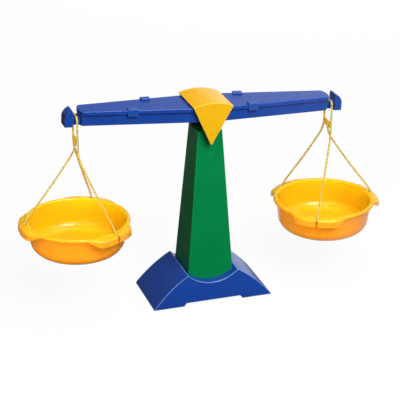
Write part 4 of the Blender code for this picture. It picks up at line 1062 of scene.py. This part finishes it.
def leg_points(start, angle):
    """A leg from its start down and outwards to its seat in a tab, as shares of its run and fall."""
    tab_length = PAN_RIM_RADIUS + TAB_REACH - PAN_WALL_TOP_RADIUS
    tab_share = (LEG_SEAT_RADIUS - PAN_WALL_TOP_RADIUS) / tab_length
    seat_z = -PAN_DROP - PAN_WALL - TAB_DROP * tab_share
    seat = Vector((LEG_SEAT_RADIUS * math.cos(angle), LEG_SEAT_RADIUS * math.sin(angle), seat_z))
    start = Vector(start)
    points = []
    for run, fall in LEG_RUN_SHARES:
        point = start.lerp(seat, run)
        point.z = start.z + (seat.z - start.z) * fall
        points.append(point)
    slot_half = STRAND_RADIUS + GAP
    foot = seat - Vector((0.0, 0.0, GAP + math.sqrt(BUTTON_RADIUS**2 - slot_half**2)))
    return points + [seat, foot]


def make_hanger(side_name, leg_angles, placing):
    """A loop over the neck with a web and three legs: to the front, to the back and outwards."""
    top = GAP + STRAND_RADIUS
    near = LOOP_HALF_WIDTH - LOOP_CORNER
    corner = arc((near, top - LOOP_CORNER), LOOP_CORNER, 0.0, math.pi / 2, ARC_STEPS // 2)
    front_side = [Vector((0.0, -v, w)) for v, w in corner]
    back_side = [Vector((0.0, v, w)) for v, w in corner[::-1]]
    front_foot = Vector((0.0, -LOOP_HALF_WIDTH, -FRONT_LEG_DROP))
    back_foot = Vector((0.0, LOOP_HALF_WIDTH, -BACK_LEG_DROP))
    web_foot = Vector((0.0, 0.0, STRAND_RADIUS - WEB_BOTTOM_DROP))
    legs = [
        smooth_path([foot] + leg_points(foot, angle))
        for foot, angle in zip((front_foot, back_foot, web_foot), leg_angles)
    ]
    front_leg, back_leg, outer_leg = legs
    hanger = strand("hanger_loop", front_leg[::-1] + front_side + back_side + back_leg, STRAND_RADIUS)
    web_outline = mirrored([
        (0.0, STRAND_RADIUS - WEB_BOTTOM_DROP),
        (LOOP_HALF_WIDTH, -WEB_BOTTOM_DROP),
        (LOOP_HALF_WIDTH, -WEB_TOP_DROP),
        (0.0, -WEB_TOP_DROP - STRAND_RADIUS),
    ])
    web = plate("hanger_web", web_outline, -WEB_THICKNESS / 2, WEB_THICKNESS / 2, "YZ")
    web = rounded(web, WEB_EDGE_ROUND, WEB_EDGE_SEGMENTS)
    pieces = [web, strand("hanger_leg", outer_leg, LEG_RADIUS)]
    half_turn = arc((0.0, 0.0), BUTTON_RADIUS, math.pi / 2, -math.pi / 2, ARC_STEPS // 2)
    for leg in legs:
        pieces.append(place(turned("button", half_turn, TURN_STEPS // 2), leg[-1]))
    hanger = combine(hanger, pieces, "UNION")
    name, body = f"hanger_{side_name}", f"pan_set_{side_name}"
    hanger = show(hanger, name + "_moulding", amber, body, [name], placing, edge_highlit=False)
    centre = placing.translation

    # Painted light on the web, between its top and bottom drops
    def painted_light_share(vert):
        in_plane = abs(vert.co.x - centre.x) <= WEB_THICKNESS / 2 + GAP
        between = WEB_TOP_DROP < centre.z - vert.co.z < WEB_BOTTOM_DROP
        return 1.0 if in_plane and between else 0.0

    paint(hanger, "painted_light_tone", painted_light_share)


def lobe(angle, tab_angles):
    """1 across each tab, falling smoothly to 0 beside it."""
    away = min(abs((angle - tab + math.pi) % (2 * math.pi) - math.pi) for tab in tab_angles)
    share = min(1.0, max(0.0, (away - TAB_FLAT_HALF_ANGLE) / TAB_BLEND_ANGLE))
    return (1 + math.cos(math.pi * share)) / 2


def pan_section(weight):
    """The sheet's under side at one angle, from the lip's lower edge to the floor.

    The weight is how far the section lies in a tab, from 0 to 1.
    """
    outer = PAN_RIM_RADIUS - PAN_WALL + weight * TAB_REACH
    edge_round = PAN_RIM_ROUND + weight * (TAB_EDGE_ROUND - PAN_RIM_ROUND)
    edge_top = -weight * TAB_DROP
    lip_low = -PAN_RIM_DROP - weight * TAB_SKIRT
    lip_top = (outer - weight * edge_round / 2, edge_top - edge_round)
    turn_centre = (lip_top[0] - edge_round, lip_top[1])
    section = straight_run((outer, lip_low), lip_top, PAN_LIP_STEPS)
    section += arc(turn_centre, edge_round, 0.0, math.pi / 2, PAN_EDGE_STEPS)
    inner_centre = (PAN_WALL_TOP_RADIUS + PAN_RIM_ROUND, -PAN_RIM_ROUND)
    start = turn_centre[0]
    for i in range(1, PAN_FLANGE_STEPS + 1):
        share = i / PAN_FLANGE_STEPS
        height = edge_top * (1 - share) ** FLANGE_FALL_POWER
        section.append((start + (inner_centre[0] - start) * share, height))
    section += arc(inner_centre, PAN_RIM_ROUND, math.pi / 2, math.pi, PAN_INNER_EDGE_STEPS)[1:-1]
    foot_z = PAN_CORNER_RADIUS - PAN_DEPTH
    wall_top, wall_foot = (PAN_WALL_TOP_RADIUS, -PAN_RIM_ROUND), (PAN_WALL_FOOT_RADIUS, foot_z)
    section += straight_run(wall_top, wall_foot, PAN_WALL_STEPS)
    corner_centre = (PAN_WALL_FOOT_RADIUS - PAN_CORNER_RADIUS, foot_z)
    section += arc(corner_centre, PAN_CORNER_RADIUS, 0.0, -math.pi / 2, PAN_CORNER_STEPS)
    section.append((corner_centre[0] / 2, -PAN_DEPTH))
    return section


def make_pan(side_name, tab_angles, placing):
    bm = bmesh.new()
    loops = []
    for step in range(PAN_STEPS):
        angle = 2 * math.pi * step / PAN_STEPS
        section = pan_section(lobe(angle, tab_angles))
        loops.append([bm.verts.new((r * math.cos(angle), r * math.sin(angle), z)) for r, z in section])
    for one, two in zip(loops, loops[1:] + loops[:1]):
        for a, b, c, d in zip(one, two, two[1:], one[1:]):
            bm.faces.new((a, b, c, d))
    bm.faces.new([loop[-1] for loop in loops])
    bmesh.ops.recalc_face_normals(bm, faces=bm.faces)
    lowest = min(bm.faces, key=lambda f: f.calc_center_median().z)
    if lowest.normal.z > 0:
        bmesh.ops.reverse_faces(bm, faces=bm.faces)
    pan = place(mesh_object("pan_shell", bm), (0.0, 0.0, -PAN_DROP - PAN_WALL))
    shell = pan.modifiers.new("wall", "SOLIDIFY")
    shell.thickness = PAN_WALL
    shell.offset = -1.0
    pan = baked(pan)
    half = STRAND_RADIUS + GAP
    slot_low_z = -PAN_DROP - PAN_WALL - TAB_SKIRT - BUTTON_RADIUS
    low = (LEG_SEAT_RADIUS - half - SLOT_LEAD, -half, slot_low_z)
    high = (LEG_SEAT_RADIUS + TAB_REACH + OVERRUN, half, -PAN_DROP + OVERRUN)
    slots = [
        place(block("slot", low, high), (0.0, 0.0, 0.0), Matrix.Rotation(angle, 4, "Z"))
        for angle in tab_angles
    ]
    pan = combine(pan, slots, "DIFFERENCE")
    name, body = f"pan_{side_name}", f"pan_set_{side_name}"
    pan = show(pan, name + "_moulding", pan_yellow, body, [name], placing, edge_highlit=False)
    centre = placing.translation

    # Painted shade on the pan's outer side, strongest where the surface faces outwards and down
    def painted_shade_share(vert):
        radial = Vector((vert.co.x - centre.x, vert.co.y - centre.y, 0.0)).normalized()
        lean = vert.normal.dot(radial) - vert.normal.z * PAINTED_SHADE_DROP_SHARE
        return min(1.0, max(0.0, (1 + lean) / 2))

    paint(pan, "painted_light_tone", painted_shade_share)


make_base()
make_column()
make_beam_body()
make_beam_cover()
make_saddle()
for rider_name, rider_x, rider_side in RIDERS:
    make_rider(rider_name, rider_x, rider_side)
for word, way, tabs in (("left", -1, LEFT_TAB_ANGLES), ("right", 1, RIGHT_TAB_ANGLES)):
    hang = Matrix.Translation(BEAM_PLACE @ Vector((way * ARM, 0.0, SEAT_Z)))
    front, outwards, back = sorted(tabs, key=math.sin)
    make_hanger(word, (front, back, outwards), hang)
    make_pan(word, tabs, hang)

for name, obj in frame["nodes"].items():
    if "screw" in name or "axle" in name:
        obj.data.materials.clear()
        obj.data.materials.append(steel)
        obj.data.shade_smooth()
        obj.data.set_sharp_from_angle(angle=METAL_SMOOTH_ANGLE)


# Studio

WHITE = (1.0, 1.0, 1.0, 1.0)
BALANCE_MIDDLE = (0.0, 0.0, 0.15)
PANS_MIDDLE = (0.0, 0.0, 0.08)

# The paper under the balance: its colour as seen and as it lights the balance, and its own glow
FLOOR_SIZE = 6.0
PAPER_SEEN = (0.92, 0.92, 0.92, 1.0)
PAPER_LIT = (0.12, 0.12, 0.12, 1.0)
PAPER_ROUGHNESS = 0.9
PAPER_GLOW_SHARE = 0.93
FLOOR_GLEAM_DIRECTION = (1.0, 0.4, 0.0)
FLOOR_GLEAM_RANGE = (0.08, 0.14)
FLOOR_GLEAM_SHARES = (0.0, 0.88)

# The room: its light, and how bright it looks from left to right in the balance's gloss
ROOM_COLOUR = (0.97, 0.98, 1.0, 1.0)
ROOM_LEVEL = 0.10
ROOM_DIRECTION = (1.0, 0.0, -0.5)
ROOM_RANGE = (0.0, 0.42)
ROOM_GLOSS_LEVELS = (0.18, 1.0)

# Each lamp: its name, its place, what it aims at, its width and height, and its radiance
LAMPS = (
    ("key", (0.25, -1.40, 1.45), BALANCE_MIDDLE, (1.1, 0.9), 13.6),
    ("left_front", (-1.05, -1.0, 1.15), BALANCE_MIDDLE, (0.4, 0.4), 5.0),
    ("overhead", (0.15, -0.10, 1.35), BALANCE_MIDDLE, (0.8, 0.4), 4.0),
)
REAR_FILL = ("rear_fill", (0.75, 1.7, 0.40), BALANCE_MIDDLE, (1.5, 0.6), 6.0)
TRANSLUCENT_FILLS = (
    ("low_fill", (-1.6, -2.2, 0.25), PANS_MIDDLE, (2.7, 0.6), 12.3),
    ("high_fill", (-1.3, -0.5, 0.95), PANS_MIDDLE, (0.9, 0.6), 3.6),
)

CAMERA_PLACE = (-0.5065, -1.4502, 0.7964)
CAMERA_YAW = math.radians(-19.066)
CAMERA_PITCH = math.radians(-23.965)
CAMERA_ROLL = math.radians(0.752)
CAMERA_SENSOR = 36.0
CAMERA_LENS = 131.75
CAMERA_CLIP = (0.05, 20.0)


def make_floor():
    bm = bmesh.new()
    bmesh.ops.create_grid(bm, x_segments=1, y_segments=1, size=FLOOR_SIZE)
    floor = mesh_object("floor", bm)
    bring_out(floor)
    material = bpy.data.materials.new("studio_floor")
    made = Nodes(material)
    place_in = made.add("ShaderNodeTexCoord").outputs["Object"]
    along = made.dot(place_in, FLOOR_GLEAM_DIRECTION)
    gleam = made.spread(along, FLOOR_GLEAM_RANGE, FLOOR_GLEAM_SHARES, interpolation_type="SMOOTHSTEP")
    ray = made.add("ShaderNodeLightPath")
    seen = ray.outputs["Is Camera Ray"]
    mirrored_glow = made.calculate("MULTIPLY", ray.outputs["Is Glossy Ray"], gleam)
    glow_share = made.calculate("MULTIPLY_ADD", seen, PAPER_GLOW_SHARE, mirrored_glow)
    shader = made.tree.nodes["Principled BSDF"]
    made.feed(shader, {
        "Base Color": made.blend(seen, PAPER_LIT, PAPER_SEEN),
        "Roughness": PAPER_ROUGHNESS,
        "Specular IOR Level": 0.0,
    })
    glow = made.add("ShaderNodeEmission", {"Color": WHITE, "Strength": 1.0})
    made.end_with_mix("Material Output", glow_share, shader, glow)
    floor.data.materials.append(material)


def make_softbox(name, location, target, size, radiance, mirrored_in_gloss=True, only=None):
    """A rectangular light, whose power follows from its size and how bright its face looks.

    With a collection given, it lights only the pieces in it.
    """
    light = bpy.data.lights.new(name, "AREA")
    light.shape = "RECTANGLE"
    light.size, light.size_y = size
    light.energy = radiance * math.pi * size[0] * size[1]
    obj = bpy.data.objects.new(name, light)
    bpy.context.scene.collection.objects.link(obj)
    obj.location = location
    aim = Vector(target) - Vector(location)
    obj.rotation_euler = aim.to_track_quat("-Z", "Y").to_euler()
    obj.visible_glossy = mirrored_in_gloss
    if only is not None:
        obj.light_linking.receiver_collection = only


def translucent_pieces():
    """A collection of the pans and hangers."""
    pieces = bpy.data.collections.new("translucent_pieces")
    for obj in bpy.context.scene.objects:
        if obj.name.startswith(("pan_", "hanger_")) and obj.name.endswith("_moulding"):
            pieces.objects.link(obj)
    return pieces


def make_world():
    world = bpy.data.worlds.new("studio")
    bpy.context.scene.world = world
    made = Nodes(world)
    direction = made.add("ShaderNodeTexCoord").outputs["Generated"]
    across = made.dot(direction, ROOM_DIRECTION)
    room = made.spread(across, ROOM_RANGE, ROOM_GLOSS_LEVELS, interpolation_type="SMOOTHSTEP")
    ray = made.add("ShaderNodeLightPath")
    level = made.add("ShaderNodeMix", {"Factor": ray.outputs["Is Glossy Ray"], "A": ROOM_LEVEL, "B": room})
    background = made.tree.nodes["Background"]
    made.feed(background, {"Color": ROOM_COLOUR, "Strength": level.outputs["Result"]})
    backdrop = made.add("ShaderNodeBackground", {"Color": WHITE, "Strength": 1.0})
    made.end_with_mix("World Output", ray.outputs["Is Camera Ray"], background, backdrop)


def make_camera():
    camera = bpy.data.cameras.new("camera")
    obj = bpy.data.objects.new("camera", camera)
    bpy.context.scene.collection.objects.link(obj)
    heading = Matrix.Rotation(CAMERA_YAW, 4, "Z") @ Matrix.Rotation(math.pi / 2 + CAMERA_PITCH, 4, "X")
    turn = heading @ Matrix.Rotation(CAMERA_ROLL, 4, "Z")
    obj.matrix_world = Matrix.Translation(CAMERA_PLACE) @ turn
    camera.sensor_width = CAMERA_SENSOR
    camera.lens = CAMERA_LENS
    camera.clip_start, camera.clip_end = CAMERA_CLIP
    bpy.context.scene.camera = obj


make_floor()
for lamp in LAMPS:
    make_softbox(*lamp)
make_softbox(*REAR_FILL, mirrored_in_gloss=False)
reached = translucent_pieces()
for lamp in TRANSLUCENT_FILLS:
    make_softbox(*lamp, mirrored_in_gloss=False, only=reached)
make_world()
make_camera()
bpy.context.scene.view_settings.view_transform = "Standard"

bpy.data.collections.remove(cutters)
